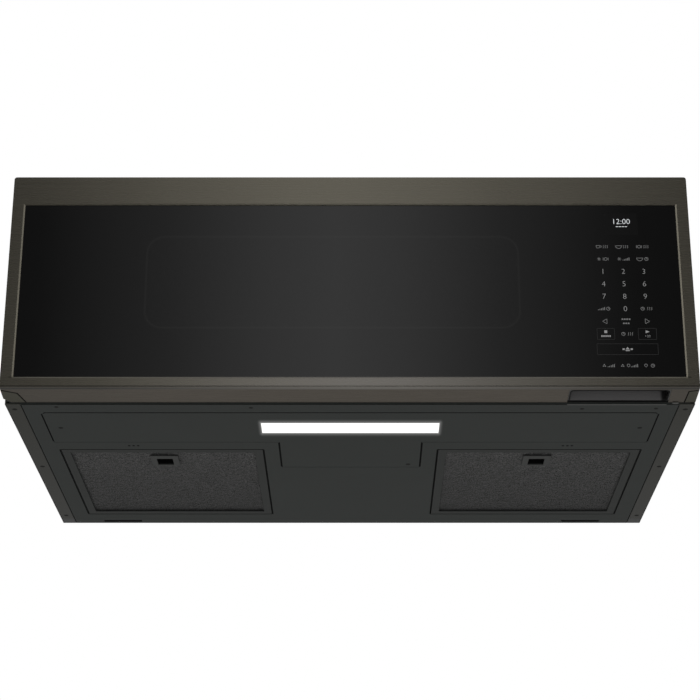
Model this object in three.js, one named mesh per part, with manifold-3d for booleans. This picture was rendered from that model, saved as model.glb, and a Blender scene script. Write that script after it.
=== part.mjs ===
// A low-profile microwave oven with a built-in cooking hood, of the kind hung over a range.
// Sizes are in millimetres. X runs to the right as seen from the front, Y to the wall, Z up.
// The origin is the middle of the footprint, level with the underside.
// The door is hinged at its left edge and holds the touch controls, the window and a finger pull.

import * as THREE from "three";
import { mergeVertices } from "three/addons/utils/BufferGeometryUtils.js";
import Module from "manifold-3d";

const wasm = await Module();
wasm.setup();

// ---------------------------------------------------------------------------
// Driving sizes
// ---------------------------------------------------------------------------

// Overall
const WIDTH = 759;
const HEIGHT = 262;
const DEPTH = 460;

// Clearances
const SEAT = 0.3; // between two pieces that rest on each other
const REVEAL = 0.8; // round a flush panel or filter
const RUNNING = 0.5; // round a turning shaft or a sliding tongue

// Case: wrap, base, back and front plates
const CASE_SHEET = 1.2;
const WRAP_FLANGE = 16.5; // the wrap's turned-in edge, seen from below
const JOGGLE_LAP = 12; // how far the base lies over that edge
const AIR_CHANNEL = 46; // from the underside to the oven liner
const ROOF_SPACE = 43.6; // from the liner to the top
const MACHINE_BAY = 127; // right of the liner
const DUCT_BAY = 87; // left of the liner
const BLOWER_BAY = 88; // behind the liner
const TRAY_DROP = 5; // the machine bay's floor lies this far under the liner's
const TRAY_LIP = 12;
const VENT_SLOT = 4;
const VENT_PITCH = 11;
const VENT_MARGIN = 12;

// Door
const DOOR_DEPTH = 34;
const DOOR_GAP = 2;
const DOOR_SHEET = 1.5;
const DOOR_CORNER = 3;
const LIP_LEVEL = 6; // the underside slopes from here at the front
const DOOR_BACK_LEVEL = 1.6; // to here at the back, above the case's underside
const LIP_RADIUS = 2.5;
const HINGE_RELIEF = 8; // cut off the back corner that turns past the case
const RAIL_TOP = 35;
const RAIL_BOTTOM = 18.2;
const RAIL_SIDE = 14.2;
const BEZEL_BEVEL = 1.6;
const BEZEL_BEVEL_DEPTH = 1.1;
const GLASS_THICK = 4;
const GLASS_LAP = 5;
const INNER_PANEL_THICK = 3;

// Window, centred on the oven
const WINDOW_WIDTH = 413;
const WINDOW_HEIGHT = 111;
const WINDOW_CORNER = 18;
const SCREEN_LAP = 10;
const SCREEN_THICK = 1.2;
const SCREEN_SLOT = 6; // width of one slot of the screen
const SCREEN_SLOT_PITCH = 20.65;
const SCREEN_ROWS = 2;
const WINDOW_PANE_THICK = 1.5;

// Choke: the slotted pan behind the glass that keeps the microwaves in
const CHOKE_LAP = 22;
const CHOKE_FRONT = 9; // from the door's front to the pan
const CHOKE_SHEET = 1.2;
const CHOKE_SLOT = 2.5;
const CHOKE_SLOT_DEPTH = 12;
const CHOKE_SLOT_PITCH = 45;

// Finger pull in the door's underside
const PULL_WIDTH = 107.6;
const PULL_FROM_SIDE = 31.7;
const PULL_FRONT = 8;
const PULL_BACK = 29.1;
const PULL_HEIGHT = 18.5;
const PULL_WALL = 1.4;
const PULL_ROUND = 5;

// Hinges
const HINGE_FROM_SIDE = 12.5;
const HINGE_FROM_FRONT = 20;
const HINGE_LEVEL = 12; // underside of the lower plate
const HINGE_PLATE = 3;
const HINGE_HALF_WIDTH = 8;
const HINGE_PIN_RADIUS = 3;
const HINGE_PIN_LENGTH = 8;
const HINGE_LEG = 20;
const HINGE_SOCKET_HEIGHT = 11;
const HINGE_SOCKET_REACH = 11;
const HINGE_SOCKET_DEPTH = 18;

// Door latch
const LATCH_FROM_SIDE = 70.5;
const LATCH_THICK = 6;
const LATCH_BAR_DEPTH = 6;
const LATCH_REACH = 20; // behind the door
const LATCH_HOOK_HEIGHT = 6;
const LATCH_BARB = 3;
const LATCH_BARB_LENGTH = 7;
const LATCH_HOOK_SPAN = 116; // between the two hooks
const LATCH_TRAVEL = 5;
const LATCH_SLOT_PLAY = 1.5;
const BRACKET_WIDTH = 28;
const BRACKET_DEPTH = 10; // behind the hooks' tips
const BRACKET_WALL = 3;
const SWITCH_LENGTH = 20;
const SWITCH_THICK = 10;
const SWITCH_HEIGHT = 16;

// Controls behind the glass
const CONTROL_WIDTH = 86;
const CONTROL_FROM_SIDE = 31;
const CONTROL_MARGIN = 6;
const BOARD_THICK = 1.6;
const DISPLAY_WIDTH = 60;
const DISPLAY_HEIGHT = 27;
const DISPLAY_DEPTH = 10;

// Oven
const LINER_FLANGE = 8;
const AIR_SLOT = 3;
const AIR_SLOT_HEIGHT = 12;
const AIR_SLOT_PITCH = 8;
const AIR_SLOTS_WIDTH = 40;
const LAMP_DEPTH = 16;
const LAMP_MARGIN = 6;
const LAMP_FROM_BODY = 42;
const LAMP_FROM_TOP = 30;

// Turntable
const TURNTABLE_RADIUS = 155;
const TURNTABLE_THICK = 5;
const TURNTABLE_RIM = 7;
const ROLLER_RADIUS = 9;
const ROLLER_WIDTH = 6;
const ROLLER_TRACK = 116;
const ROLLER_BORE = 3;
const ROLLER_START = Math.PI / 6; // where the first wheel stands
const RING_WIDTH = 11;
const RING_HEIGHT = 5;
const COUPLER_RADIUS = 17;
const COUPLER_ARM = 7;
const LUG_WIDTH = 8;
const LUG_LENGTH = 6;
const LUG_DROP = 4;
const SHAFT_RADIUS = 3.5;
const TURN_MOTOR_RADIUS = 25;
const TURN_MOTOR_HEIGHT = 17;

// Underside: light and motor cover, and filters
const COVER_FROM_BODY = 26; // from the body's front edge
const COVER_DEPTH = 93;
const COVER_SIDE_STRIP = 19.5;
const COVER_CORNER = 3.5;
const STEM_WIDTH = 165;
const STEM_DEPTH = 86;
const COVER_LEDGE = 6;
const LIGHT_WIDTH = 202;
const LIGHT_DEPTH = 32.6;
const LIGHT_FROM_COVER = 30.8;
const LENS_THICK = 2.4;
const LENS_LIP = 3;
const LIGHT_BOX_HEIGHT = 14;
const LIGHT_CHIPS = 12;
const FILTER_STRIP = 25.5; // between the cover and the filters
const FILTER_SIDE_STRIP = 22.5;
const FILTER_CENTRE_STRIP = 205;
const FILTER_REAR_STRIP = 36.4;
const FILTER_HEIGHT = 9.8;
const FILTER_RECESS = 0.2;
const FILTER_WALL = 12; // height of the base's wall round it
const FILTER_REAR_GAP = 1.6; // room for the frame's lower edge as it swings
const FILTER_LIP = 9.5;
const FILTER_TOP_LIP = 8;
const FILTER_SHEET = 1.2;
const FILTER_TAB_WIDTH = 30;
const FILTER_TAB_SPAN = 140;
const FILTER_TAB_REACH = 7;
const PLEAT_PITCH = 18;
const PLEAT_HEIGHT = 0.8;
const MESH_THICK = 3;
const GRIP_WIDTH = 33;
const GRIP_DEPTH = 34;
const GRIP_FROM_FRONT = 22.5;
const GRIP_THICK = 1.2;
const GRIP_LEAD = 9.5; // from the grip's front edge to its cup
const CUP_WIDTH = 19;
const CUP_DEPTH = 21;
const CUP_HEIGHT = 7;
const CUP_WALL = 1.2;
const TONGUE_HALF_WIDTH = 5;
const TONGUE_THICK = 2;
const GRIP_TRAVEL = 6;

// Slots for the wall plate's hooks
const HOOK_SLOT_WIDTH = 49.5;
const HOOK_SLOT_DEPTH = 6;
const HOOK_SLOT_SPAN = 600;
const HOOK_SLOT_FROM_BACK = 4.5;

// Vent blower and its outlet
const WHEEL_RADIUS = 36;
const WHEEL_LENGTH = 78;
const WHEEL_BLADES = 20;
const WHEEL_BLADE_DEPTH = 8;
const WHEEL_PLATE = 2;
const WHEEL_HUB = 16;
const BLADE_LEAN = 0.12;
const BLADE_ANGLE = 0.045;
const SCROLL_SHEET = 1.2;
const SCROLL_GAP = 2.2; // from the wheel to the tongue
const SCROLL_GROWTH = 2.6;
const SCROLL_STEPS = 14;
const SCROLL_AXIS_DROP = 112; // from the top to the wheels' axis
const INLET_RADIUS = 27;
const BLOWER_SHAFT_RADIUS = 4;
const BLOWER_MOTOR_RADIUS = 30;
const BLOWER_MOTOR_LENGTH = 56;
const MOTOR_FOOT = 8;
const OUTLET_WIDTH = 254;
const COLLAR_SHEET = 1.2;
const COLLAR_HEIGHT = 22;
const COLLAR_FLANGE = 13;
const COLLAR_LIP = 4;
const FLAP_THICK = 1.2;
const FLAP_PIN_RADIUS = 2;
const FLAP_RISE = 4; // from the top of the case to the flap's axis

// Cooling fan
const FAN_RADIUS = 48;
const FAN_BLADES = 5;
const FAN_HUB = 15;
const FAN_BLADE_WIDTH = 16;
const FAN_FROM_BACK = 58;
const FAN_FRAME = 2;
const FAN_CHORD = 26;
const FAN_PITCH = 0.55;
const FAN_BLADE_THICK = 1.5;
const FAN_TIP_GAP = 1.5;
const FAN_BAR = 5;
const FAN_MOTOR = 44;

// Microwave source and supply
const WAVEGUIDE_DEPTH = 26;
const WAVEGUIDE_LENGTH = 92;
const WAVEGUIDE_HEIGHT = 80;
const WAVEGUIDE_FROM_BODY = 78;
const APERTURE = 44;
const MICA_THICK = 1;
const MICA_LAP = 8;
const MAGNET_THICK = 6;
const MAGNET_RADIUS = 27;
const FIN_THICK = 0.8;
const FIN_MARGIN = 8;
const FILTER_BOX_REACH = 22;
const YOKE_LENGTH = 56;
const YOKE_DEPTH = 78;
const YOKE_HEIGHT = 88;
const YOKE_SHEET = 2;
const COOLING_FINS = 6;
const ANODE_RADIUS = 19;
const ANTENNA_RADIUS = 8;
const CORE_WIDTH = 88;
const CORE_HEIGHT = 74;
const CORE_STACK = 46;
const CORE_LEG = 14.6;
const CORE_FOOT = 8;
const COIL_BUILD = 13;
const SUPPLY_FROM_BACK = 110;
const CAN_WIDTH = 52;
const CAN_THICK = 32;
const CAN_HEIGHT = 78;
const CAN_GAP = 8;
const BOARD_FROM_BODY = 14;
const BOARD_LENGTH = 70;
const BOARD_HEIGHT = 130;
const BOARD_STANDOFF = 6;
const RELAY = 15;

// Cord outlet and cabinet bolt holes in the top
const GLAND_RADIUS = 10.5;
const GLAND_BORE = 4.5;
const GLAND_LIP = 3.5;
const GLAND_FROM_SIDE = 48;
const GLAND_FROM_BACK = 36;
const BOLT_HOLE_RADIUS = 4;
const BOLT_SPAN = 600;
const BOLT_FROM_BODY = 90;

// ---------------------------------------------------------------------------
// Planes and centres that several pieces share
// ---------------------------------------------------------------------------

const SIDE_X = WIDTH / 2;
const FRONT_Y = -DEPTH / 2;
const BACK_Y = DEPTH / 2;
const DOOR_BACK_Y = FRONT_Y + DOOR_DEPTH;
const BODY_Y = DOOR_BACK_Y + DOOR_GAP;
const INNER_X = SIDE_X - CASE_SHEET; // inside of the wrap's walls
const PLATE_X = INNER_X - SEAT; // edge of a plate that stands in the wrap
const BEHIND_FRONT_Y = BODY_Y + CASE_SHEET + SEAT;
const BACK_PLATE_Y = BACK_Y - CASE_SHEET;
const ROOF_Z = HEIGHT - CASE_SHEET; // underside of the wrap's top

// The oven liner's outside
const LINER = {
  left: -INNER_X + DUCT_BAY,
  right: INNER_X - MACHINE_BAY,
  front: BEHIND_FRONT_Y,
  back: BACK_PLATE_Y - BLOWER_BAY,
  bottom: AIR_CHANNEL,
  top: HEIGHT - ROOF_SPACE,
};
const OVEN_X = (LINER.left + LINER.right) / 2;
const OVEN_Y = (LINER.front + LINER.back) / 2;
const OVEN_Z = (LINER.bottom + LINER.top) / 2;
const OVEN_FLOOR_Z = LINER.bottom + CASE_SHEET;
const TRAY_TOP_Z = AIR_CHANNEL - TRAY_DROP;
const BAY_X = (LINER.right + INNER_X) / 2;
const STAND_Z = TRAY_TOP_Z + SEAT; // what stands on the machine bay's floor
const LAMP_Y = BODY_Y + LAMP_FROM_BODY;
const LAMP_Z = LINER.top - LAMP_FROM_TOP;
const FAN_Y = BACK_Y - FAN_FROM_BACK;
const WAVEGUIDE_Y = [BODY_Y + WAVEGUIDE_FROM_BODY, BODY_Y + WAVEGUIDE_FROM_BODY + WAVEGUIDE_LENGTH];
const WAVEGUIDE_X = LINER.right + SEAT + WAVEGUIDE_DEPTH;
const APERTURE_Y = (WAVEGUIDE_Y[0] + WAVEGUIDE_Y[1]) / 2;

const HINGE_X = -SIDE_X + HINGE_FROM_SIDE;
const HINGE_Y = FRONT_Y + HINGE_FROM_FRONT;
const LATCH_X = SIDE_X - LATCH_FROM_SIDE;
const INNER_PANEL_Y = DOOR_BACK_Y - INNER_PANEL_THICK;
const HINGE_SPANS = [
  [HINGE_LEVEL, HINGE_LEVEL + HINGE_PLATE],
  [HEIGHT - HINGE_LEVEL - HINGE_PLATE, HEIGHT - HINGE_LEVEL],
];

// The filters' openings in the base
const FILTER_OPENING = {
  inner: FILTER_CENTRE_STRIP / 2,
  outer: SIDE_X - WRAP_FLANGE - FILTER_SIDE_STRIP,
  front: BODY_Y + COVER_FROM_BODY + COVER_DEPTH + FILTER_STRIP,
  back: BACK_Y - FILTER_REAR_STRIP,
};
const COVER_X = SIDE_X - WRAP_FLANGE - COVER_SIDE_STRIP;
const COVER_FRONT_Y = BODY_Y + COVER_FROM_BODY;
const COVER_BACK_Y = COVER_FRONT_Y + COVER_DEPTH;
const STEM_BACK_Y = COVER_BACK_Y + STEM_DEPTH;
const LIGHT_FRONT_Y = COVER_FRONT_Y + LIGHT_FROM_COVER;
const LIGHT_X = [-LIGHT_WIDTH / 2, LIGHT_WIDTH / 2];
const LIGHT_Y = [LIGHT_FRONT_Y, LIGHT_FRONT_Y + LIGHT_DEPTH];

// The blower's outlet, and the wheels' axis
const OUTLET_FRONT_Y = LINER.back + REVEAL + SEAT;
const OUTLET_BACK_Y = BACK_PLATE_Y - REVEAL - SEAT;
const SCROLL_RADIUS = WHEEL_RADIUS + SCROLL_GAP + SCROLL_GROWTH + SCROLL_SHEET;
const WHEEL_Y = OUTLET_BACK_Y - SCROLL_RADIUS;
const WHEEL_Z = HEIGHT - SCROLL_AXIS_DROP;
const FLAP_Y = OUTLET_BACK_Y - 2 * FLAP_PIN_RADIUS;
const FLAP_Z = HEIGHT + FLAP_RISE;

// ---------------------------------------------------------------------------
// Shapes
// ---------------------------------------------------------------------------

// A closed geometry as a solid that can be joined and cut.
function solid(geometry) {
  const bare = new THREE.BufferGeometry();
  bare.setAttribute("position", geometry.getAttribute("position"));
  if (geometry.index) bare.setIndex(geometry.index);
  const merged = mergeVertices(bare, 1e-4);
  const triangles = [];
  for (let i = 0; i < merged.index.count; i += 3) {
    const [a, b, c] = [0, 1, 2].map((k) => merged.index.getX(i + k));
    if (a !== b && b !== c && c !== a) triangles.push(a, b, c);
  }
  return new wasm.Manifold(
    new wasm.Mesh({
      numProp: 3,
      vertProperties: merged.attributes.position.array,
      triVerts: new Uint32Array(triangles),
    }),
  );
}

// The geometry of a solid, with flat faces.
function geometryOf(shape) {
  const mesh = shape.getMesh();
  const position = new Float32Array(mesh.numVert * 3);
  for (let i = 0; i < mesh.numVert; i++) {
    position.set(mesh.vertProperties.subarray(i * mesh.numProp, i * mesh.numProp + 3), i * 3);
  }
  const geometry = new THREE.BufferGeometry();
  geometry.setAttribute("position", new THREE.BufferAttribute(position, 3));
  geometry.setIndex(new THREE.BufferAttribute(mesh.triVerts, 1));
  const flat = geometry.toNonIndexed();
  flat.computeVertexNormals();
  return flat;
}

const join = (first, ...others) => others.reduce((whole, next) => whole.add(next), first);
const cut = (first, ...others) => others.reduce((whole, next) => whole.subtract(next), first);

// A block between two corners.
function block([x0, x1], [y0, y1], [z0, z1]) {
  const geometry = new THREE.BoxGeometry(x1 - x0, y1 - y0, z1 - z0);
  geometry.translate((x0 + x1) / 2, (y0 + y1) / 2, (z0 + z1) / 2);
  return solid(geometry);
}

// How an outline's two directions and its extrusion lie in space, for each axis.
const LAY = {
  x: [new THREE.Vector3(0, 1, 0), new THREE.Vector3(0, 0, 1), new THREE.Vector3(1, 0, 0)],
  y: [new THREE.Vector3(1, 0, 0), new THREE.Vector3(0, 0, 1), new THREE.Vector3(0, -1, 0)],
  z: [new THREE.Vector3(1, 0, 0), new THREE.Vector3(0, 1, 0), new THREE.Vector3(0, 0, 1)],
};

// An outline extruded along an axis. It is drawn in the other two, in the order X, Y, Z.
function prism(axis, outline, from, to, steps = 4) {
  const drawn = outline instanceof THREE.Shape;
  const shape = drawn ? outline : new THREE.Shape(outline.map(([u, v]) => new THREE.Vector2(u, v)));
  const geometry = new THREE.ExtrudeGeometry(shape, {
    depth: to - from,
    bevelEnabled: false,
    curveSegments: steps,
  });
  geometry.applyMatrix4(new THREE.Matrix4().makeBasis(...LAY[axis]));
  geometry.translate(...{ x: [from, 0, 0], y: [0, to, 0], z: [0, 0, from] }[axis]);
  return solid(geometry);
}

// A rectangle with round corners, as an outline.
function roundedRectangle([u0, u1], [v0, v1], radius) {
  const shape = new THREE.Shape();
  const corners = [
    [u1 - radius, v0 + radius, -Math.PI / 2],
    [u1 - radius, v1 - radius, 0],
    [u0 + radius, v1 - radius, Math.PI / 2],
    [u0 + radius, v0 + radius, Math.PI],
  ];
  corners.forEach(([u, v, start]) => shape.absarc(u, v, radius, start, start + Math.PI / 2, false));
  return shape;
}

// A cylinder along an axis, between two values on it. centre gives the other two.
function cylinder(axis, radius, [from, to], centre, sides = 24) {
  const shape = new THREE.Shape();
  shape.absarc(centre[0], centre[1], radius, 0, Math.PI * 2, false);
  return prism(axis, shape, from, to, sides / 2);
}

// A profile of radius and height pairs turned about the Z axis through (x, y).
function turned(profile, sides, [x, y] = [0, 0]) {
  const points = profile.map(([radius, z]) => new THREE.Vector2(radius, z));
  const geometry = new THREE.LatheGeometry(points, sides);
  geometry.rotateX(Math.PI / 2);
  geometry.translate(x, y, 0);
  return solid(geometry);
}

// The same geometry moved, turned or both.
function moved(shape, position = [0, 0, 0], rotation = [0, 0, 0]) {
  const geometry = geometryOf(shape);
  geometry.applyMatrix4(new THREE.Matrix4().makeRotationFromEuler(new THREE.Euler(...rotation)));
  geometry.translate(...position);
  return solid(geometry);
}

// The span between two values, whichever comes first.
const span = (a, b) => [Math.min(a, b), Math.max(a, b)];

// The span of a size about its middle.
const about = (middle, size) => [middle - size / 2, middle + size / 2];

// A span grown at both ends.
const grown = ([low, high], by) => [low - by, high + by];

// Evenly spaced values from first to last, at about the given pitch.
function spaced(first, last, pitch) {
  const count = Math.max(1, Math.round((last - first) / pitch));
  return Array.from({ length: count + 1 }, (_, i) => first + ((last - first) * i) / count);
}

// ---------------------------------------------------------------------------
// Case
// ---------------------------------------------------------------------------

const PLATE_BOTTOM = 2 * (CASE_SHEET + SEAT); // on the base's raised edges
const PLATE_TOP = ROOF_Z - SEAT;
const BASE_X = SIDE_X - WRAP_FLANGE - SEAT;
const LEDGE_Z = CASE_SHEET + SEAT;
const ROOF = [ROOF_Z - 1, HEIGHT + 1]; // a cut through the top reaches past both its faces
const FLOOR = [-1, LEDGE_Z + CASE_SHEET + 1];
const MOUTH_X = [LINER.left + CASE_SHEET, LINER.right - CASE_SHEET];
const MOUTH_Z = [LINER.bottom + CASE_SHEET, LINER.top - CASE_SHEET];
const HOOK_LEVELS = about(OVEN_Z, LATCH_HOOK_SPAN);
const HOOK_PASSAGE = [
  -LATCH_HOOK_HEIGHT / 2 - LATCH_BARB - LATCH_SLOT_PLAY,
  LATCH_HOOK_HEIGHT / 2 + LATCH_TRAVEL + LATCH_SLOT_PLAY,
];
const SCROLL_LENGTH = WHEEL_LENGTH + 2 * (SCROLL_SHEET + SCROLL_GAP);
const SCROLL_X = [OUTLET_WIDTH / 2 - SCROLL_LENGTH, OUTLET_WIDTH / 2];
const GLAND = [SIDE_X - GLAND_FROM_SIDE, BACK_Y - GLAND_FROM_BACK];

const mirrored = ([low, high], side) => span(side * low, side * high);

// The slots that the latch's hooks pass through, in the plates of the door and the body.
function hookSlots(depth) {
  const across = about(LATCH_X, LATCH_THICK + 2 * LATCH_SLOT_PLAY);
  return HOOK_LEVELS.map((level) => block(across, depth, HOOK_PASSAGE.map((z) => level + z)));
}

// Top and sides, folded from one sheet, with the edges turned in below.
function outerWrap() {
  const flange = SIDE_X - WRAP_FLANGE;
  const half = [
    [flange, CASE_SHEET],
    [flange, 0],
    [SIDE_X, 0],
    [SIDE_X, HEIGHT],
  ];
  const inside = [
    [INNER_X, ROOF_Z],
    [INNER_X, CASE_SHEET],
  ];
  const other = ([x, z]) => [-x, z];
  const outside = [...half, ...half.map(other).reverse()];
  const section = [...outside, ...inside.map(other).reverse(), ...inside];
  const outlets = [-1, 1].map((side) =>
    block(mirrored(SCROLL_X, side), [OUTLET_FRONT_Y, OUTLET_BACK_Y], ROOF),
  );
  const bolts = about(0, BOLT_SPAN).map((x) =>
    cylinder("z", BOLT_HOLE_RADIUS, ROOF, [x, BODY_Y + BOLT_FROM_BODY], 16),
  );
  const gland = cylinder("z", GLAND_RADIUS + SEAT, ROOF, GLAND, 20);
  const vents = spaced(LINER.right + VENT_MARGIN, GLAND[0] - 2 * GLAND_RADIUS, VENT_PITCH).map((x) =>
    block(about(x, VENT_SLOT), [FAN_Y + VENT_MARGIN, BACK_PLATE_Y - VENT_MARGIN], ROOF),
  );
  return cut(prism("y", section, BODY_Y, BACK_Y), ...outlets, ...bolts, gland, ...vents);
}

// The cover's outline: a wide bar with its front corners cut off, and a stem behind it.
function coverOutline(by) {
  const bar = COVER_X + by;
  const stem = STEM_WIDTH / 2 + by;
  const front = COVER_FRONT_Y - by;
  const back = COVER_BACK_Y + by;
  const right = [
    [bar - COVER_CORNER, front],
    [bar, front + COVER_CORNER],
    [bar, back],
    [stem, back],
    [stem, STEM_BACK_Y + by],
  ];
  return [...right, ...right.map(([x, y]) => [-x, y]).reverse()];
}

// Underside: its long edges step up over the wrap's, a ledge carries the cover, and a
// wall stands round three sides of each filter.
function basePlate() {
  const high = LEDGE_Z + CASE_SHEET;
  const edge = BASE_X - CASE_SHEET;
  const half = [
    [edge, CASE_SHEET],
    [edge, high],
    [BASE_X + JOGGLE_LAP, high],
    [BASE_X + JOGGLE_LAP, LEDGE_Z],
    [BASE_X, LEDGE_Z],
    [BASE_X, 0],
  ];
  const section = [...half, ...half.map(([x, z]) => [-x, z]).reverse()];
  const hole = REVEAL / 2;
  const ledge = prism("z", coverOutline(hole + CASE_SHEET), 0, high);
  const openings = [-1, 1].map((side) => {
    const across = mirrored([FILTER_OPENING.inner, FILTER_OPENING.outer], side);
    return block(across, [FILTER_OPENING.front, FILTER_OPENING.back], [-1, FILTER_WALL + 1]);
  });
  const walls = [-1, 1].map((side) => {
    const across = grown(mirrored([FILTER_OPENING.inner, FILTER_OPENING.outer], side), CASE_SHEET);
    return block(across, [FILTER_OPENING.front - CASE_SHEET, FILTER_OPENING.back], [0, FILTER_WALL]);
  });
  const hooks = about(0, HOOK_SLOT_SPAN).map((x) => {
    const back = BACK_Y - HOOK_SLOT_FROM_BACK;
    return block(about(x, HOOK_SLOT_WIDTH), [back - HOOK_SLOT_DEPTH, back], FLOOR);
  });
  return cut(
    join(prism("y", section, BODY_Y, BACK_Y), ledge, ...walls),
    prism("z", coverOutline(hole), -1, LEDGE_Z),
    prism("z", coverOutline(-COVER_LEDGE), ...FLOOR),
    ...openings,
    ...hooks,
  );
}

// A sheet across the case, with its lower edge stepped over the base's raised sides.
function crossPlate(y) {
  return join(
    block([-PLATE_X, PLATE_X], y, [PLATE_BOTTOM, PLATE_TOP]),
    block(grown([-BASE_X, BASE_X], -LEDGE_Z), y, [LEDGE_Z, PLATE_BOTTOM + 1]),
  );
}

function backPlate() {
  return crossPlate([BACK_PLATE_Y, BACK_Y]);
}

// The plate that the door closes on.
function frontPlate() {
  const depth = [BODY_Y - 1, BODY_Y + CASE_SHEET + 1];
  const plate = crossPlate([BODY_Y, BODY_Y + CASE_SHEET]);
  const hinges = HINGE_SPANS.map((level) =>
    block(about(HINGE_X, 2 * HINGE_HALF_WIDTH + 2 * SEAT), depth, grown(level, SEAT)),
  );
  return cut(plate, block(MOUTH_X, depth, MOUTH_Z), ...hookSlots(depth), ...hinges);
}

// A bracket with a pin that points up below the door or down above it.
function hinge(level, upwards) {
  const [low, high] = level;
  const back = BEHIND_FRONT_Y + HINGE_PLATE;
  const plate = join(
    block(about(HINGE_X, 2 * HINGE_HALF_WIDTH), [HINGE_Y, back], level),
    cylinder("z", HINGE_HALF_WIDTH, level, [HINGE_X, HINGE_Y], 20),
  );
  const pinTop = upwards ? [high - 1, high + HINGE_PIN_LENGTH] : [low - HINGE_PIN_LENGTH, low + 1];
  const legTop = upwards ? [low, high + HINGE_LEG] : [low - HINGE_LEG, high];
  return join(
    plate,
    block(about(HINGE_X, 2 * HINGE_HALF_WIDTH), [BEHIND_FRONT_Y, back], legTop),
    cylinder("z", HINGE_PIN_RADIUS, pinTop, [HINGE_X, HINGE_Y], 16),
  );
}

// ---------------------------------------------------------------------------
// Oven
// ---------------------------------------------------------------------------

// A box open to the front, with a flange round its mouth.
function ovenLiner() {
  const inside = block(MOUTH_X, [LINER.front - 1, LINER.back - CASE_SHEET], MOUTH_Z);
  const box = block([LINER.left, LINER.right], [LINER.front, LINER.back], [LINER.bottom, LINER.top]);
  const flange = block(
    grown([LINER.left, LINER.right], LINER_FLANGE),
    [LINER.front, LINER.front + CASE_SHEET],
    grown([LINER.bottom, LINER.top], LINER_FLANGE),
  );
  const rightWall = [LINER.right - CASE_SHEET - 1, LINER.right + 1];
  const leftWall = [LINER.left - 1, LINER.left + CASE_SHEET + 1];
  const slots = (wall, middle, level) =>
    spaced(middle - AIR_SLOTS_WIDTH / 2, middle + AIR_SLOTS_WIDTH / 2, AIR_SLOT_PITCH).map((y) =>
      block(wall, about(y, AIR_SLOT), about(level, AIR_SLOT_HEIGHT)),
    );
  return cut(
    join(box, flange),
    inside,
    block(rightWall, about(APERTURE_Y, APERTURE), about(OVEN_Z, APERTURE)),
    cylinder("z", SHAFT_RADIUS + REVEAL, [LINER.bottom - 1, OVEN_FLOOR_Z + 1], [OVEN_X, OVEN_Y], 20),
    ...slots(rightWall, LAMP_Y, LAMP_Z),
    ...slots(leftWall, OVEN_Y, LAMP_Z),
  );
}

// Insulating sheet over the opening that the microwaves come through.
function micaSheet() {
  const size = APERTURE + 2 * MICA_LAP;
  const face = LINER.right - CASE_SHEET - SEAT;
  return block([face - MICA_THICK, face], about(APERTURE_Y, size), about(OVEN_Z, size));
}

function ovenLamp() {
  const start = LINER.right + SEAT;
  const box = block(
    [start, start + LAMP_DEPTH],
    about(LAMP_Y, AIR_SLOTS_WIDTH + 2 * LAMP_MARGIN),
    about(LAMP_Z, AIR_SLOT_HEIGHT + 2 * LAMP_MARGIN),
  );
  const hollow = block(
    [start - 1, start + LAMP_DEPTH - CASE_SHEET],
    about(LAMP_Y, AIR_SLOTS_WIDTH + 2 * LAMP_MARGIN - 2 * CASE_SHEET),
    about(LAMP_Z, AIR_SLOT_HEIGHT + 2 * LAMP_MARGIN - 2 * CASE_SHEET),
  );
  return cut(box, hollow);
}

// Three copies of a shape drawn on the X axis, turned about the turntable's own.
function thirds(shape, start) {
  return [0, 1, 2].map((i) => moved(shape, [OVEN_X, OVEN_Y, 0], [0, 0, start + (i * 2 * Math.PI) / 3]));
}

// Turntable drive: the ring's wheels roll between the oven's floor and the glass.
const ROLLER_Z = OVEN_FLOOR_Z + SEAT + ROLLER_RADIUS;
const TURNTABLE_Z = ROLLER_Z + ROLLER_RADIUS + SEAT;
const RING_OUTER = ROLLER_TRACK - ROLLER_WIDTH / 2 - RUNNING;
const RING_INNER = RING_OUTER - RING_WIDTH;
const MOTOR_TOP = LINER.bottom - SEAT;
const SHAFT_BOTTOM = MOTOR_TOP - TURN_MOTOR_HEIGHT / 2;

// Glass dish with a raised rim, and three lugs below that the drive's arms push.
function turntable() {
  const low = TURNTABLE_Z;
  const floor = low + TURNTABLE_THICK;
  const rim = low + TURNTABLE_RIM;
  const dish = turned(
    [
      [0, low],
      [TURNTABLE_RADIUS - 12, low],
      [TURNTABLE_RADIUS, rim - TURNTABLE_THICK / 2],
      [TURNTABLE_RADIUS, rim],
      [TURNTABLE_RADIUS - 3, rim],
      [TURNTABLE_RADIUS - 14, floor],
      [0, floor],
    ],
    48,
    [OVEN_X, OVEN_Y],
  );
  const reach = [COUPLER_RADIUS - LUG_LENGTH, COUPLER_RADIUS];
  const lug = block(reach, about(0, LUG_WIDTH), [low - LUG_DROP, low + 1]);
  return join(dish, ...thirds(lug, Math.PI / 3));
}

// Three-armed drive on the motor's shaft.
function turntableCoupler() {
  const hub = [OVEN_FLOOR_Z + SEAT, TURNTABLE_Z - SEAT];
  const arm = block([0, COUPLER_RADIUS], about(0, COUPLER_ARM), [hub[1] - LUG_DROP, hub[1]]);
  return join(
    cylinder("z", COUPLER_RADIUS / 2, hub, [OVEN_X, OVEN_Y], 24),
    cylinder("z", SHAFT_RADIUS, [SHAFT_BOTTOM, hub[0] + 1], [OVEN_X, OVEN_Y], 16),
    ...thirds(arm, 0),
  );
}

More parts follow.
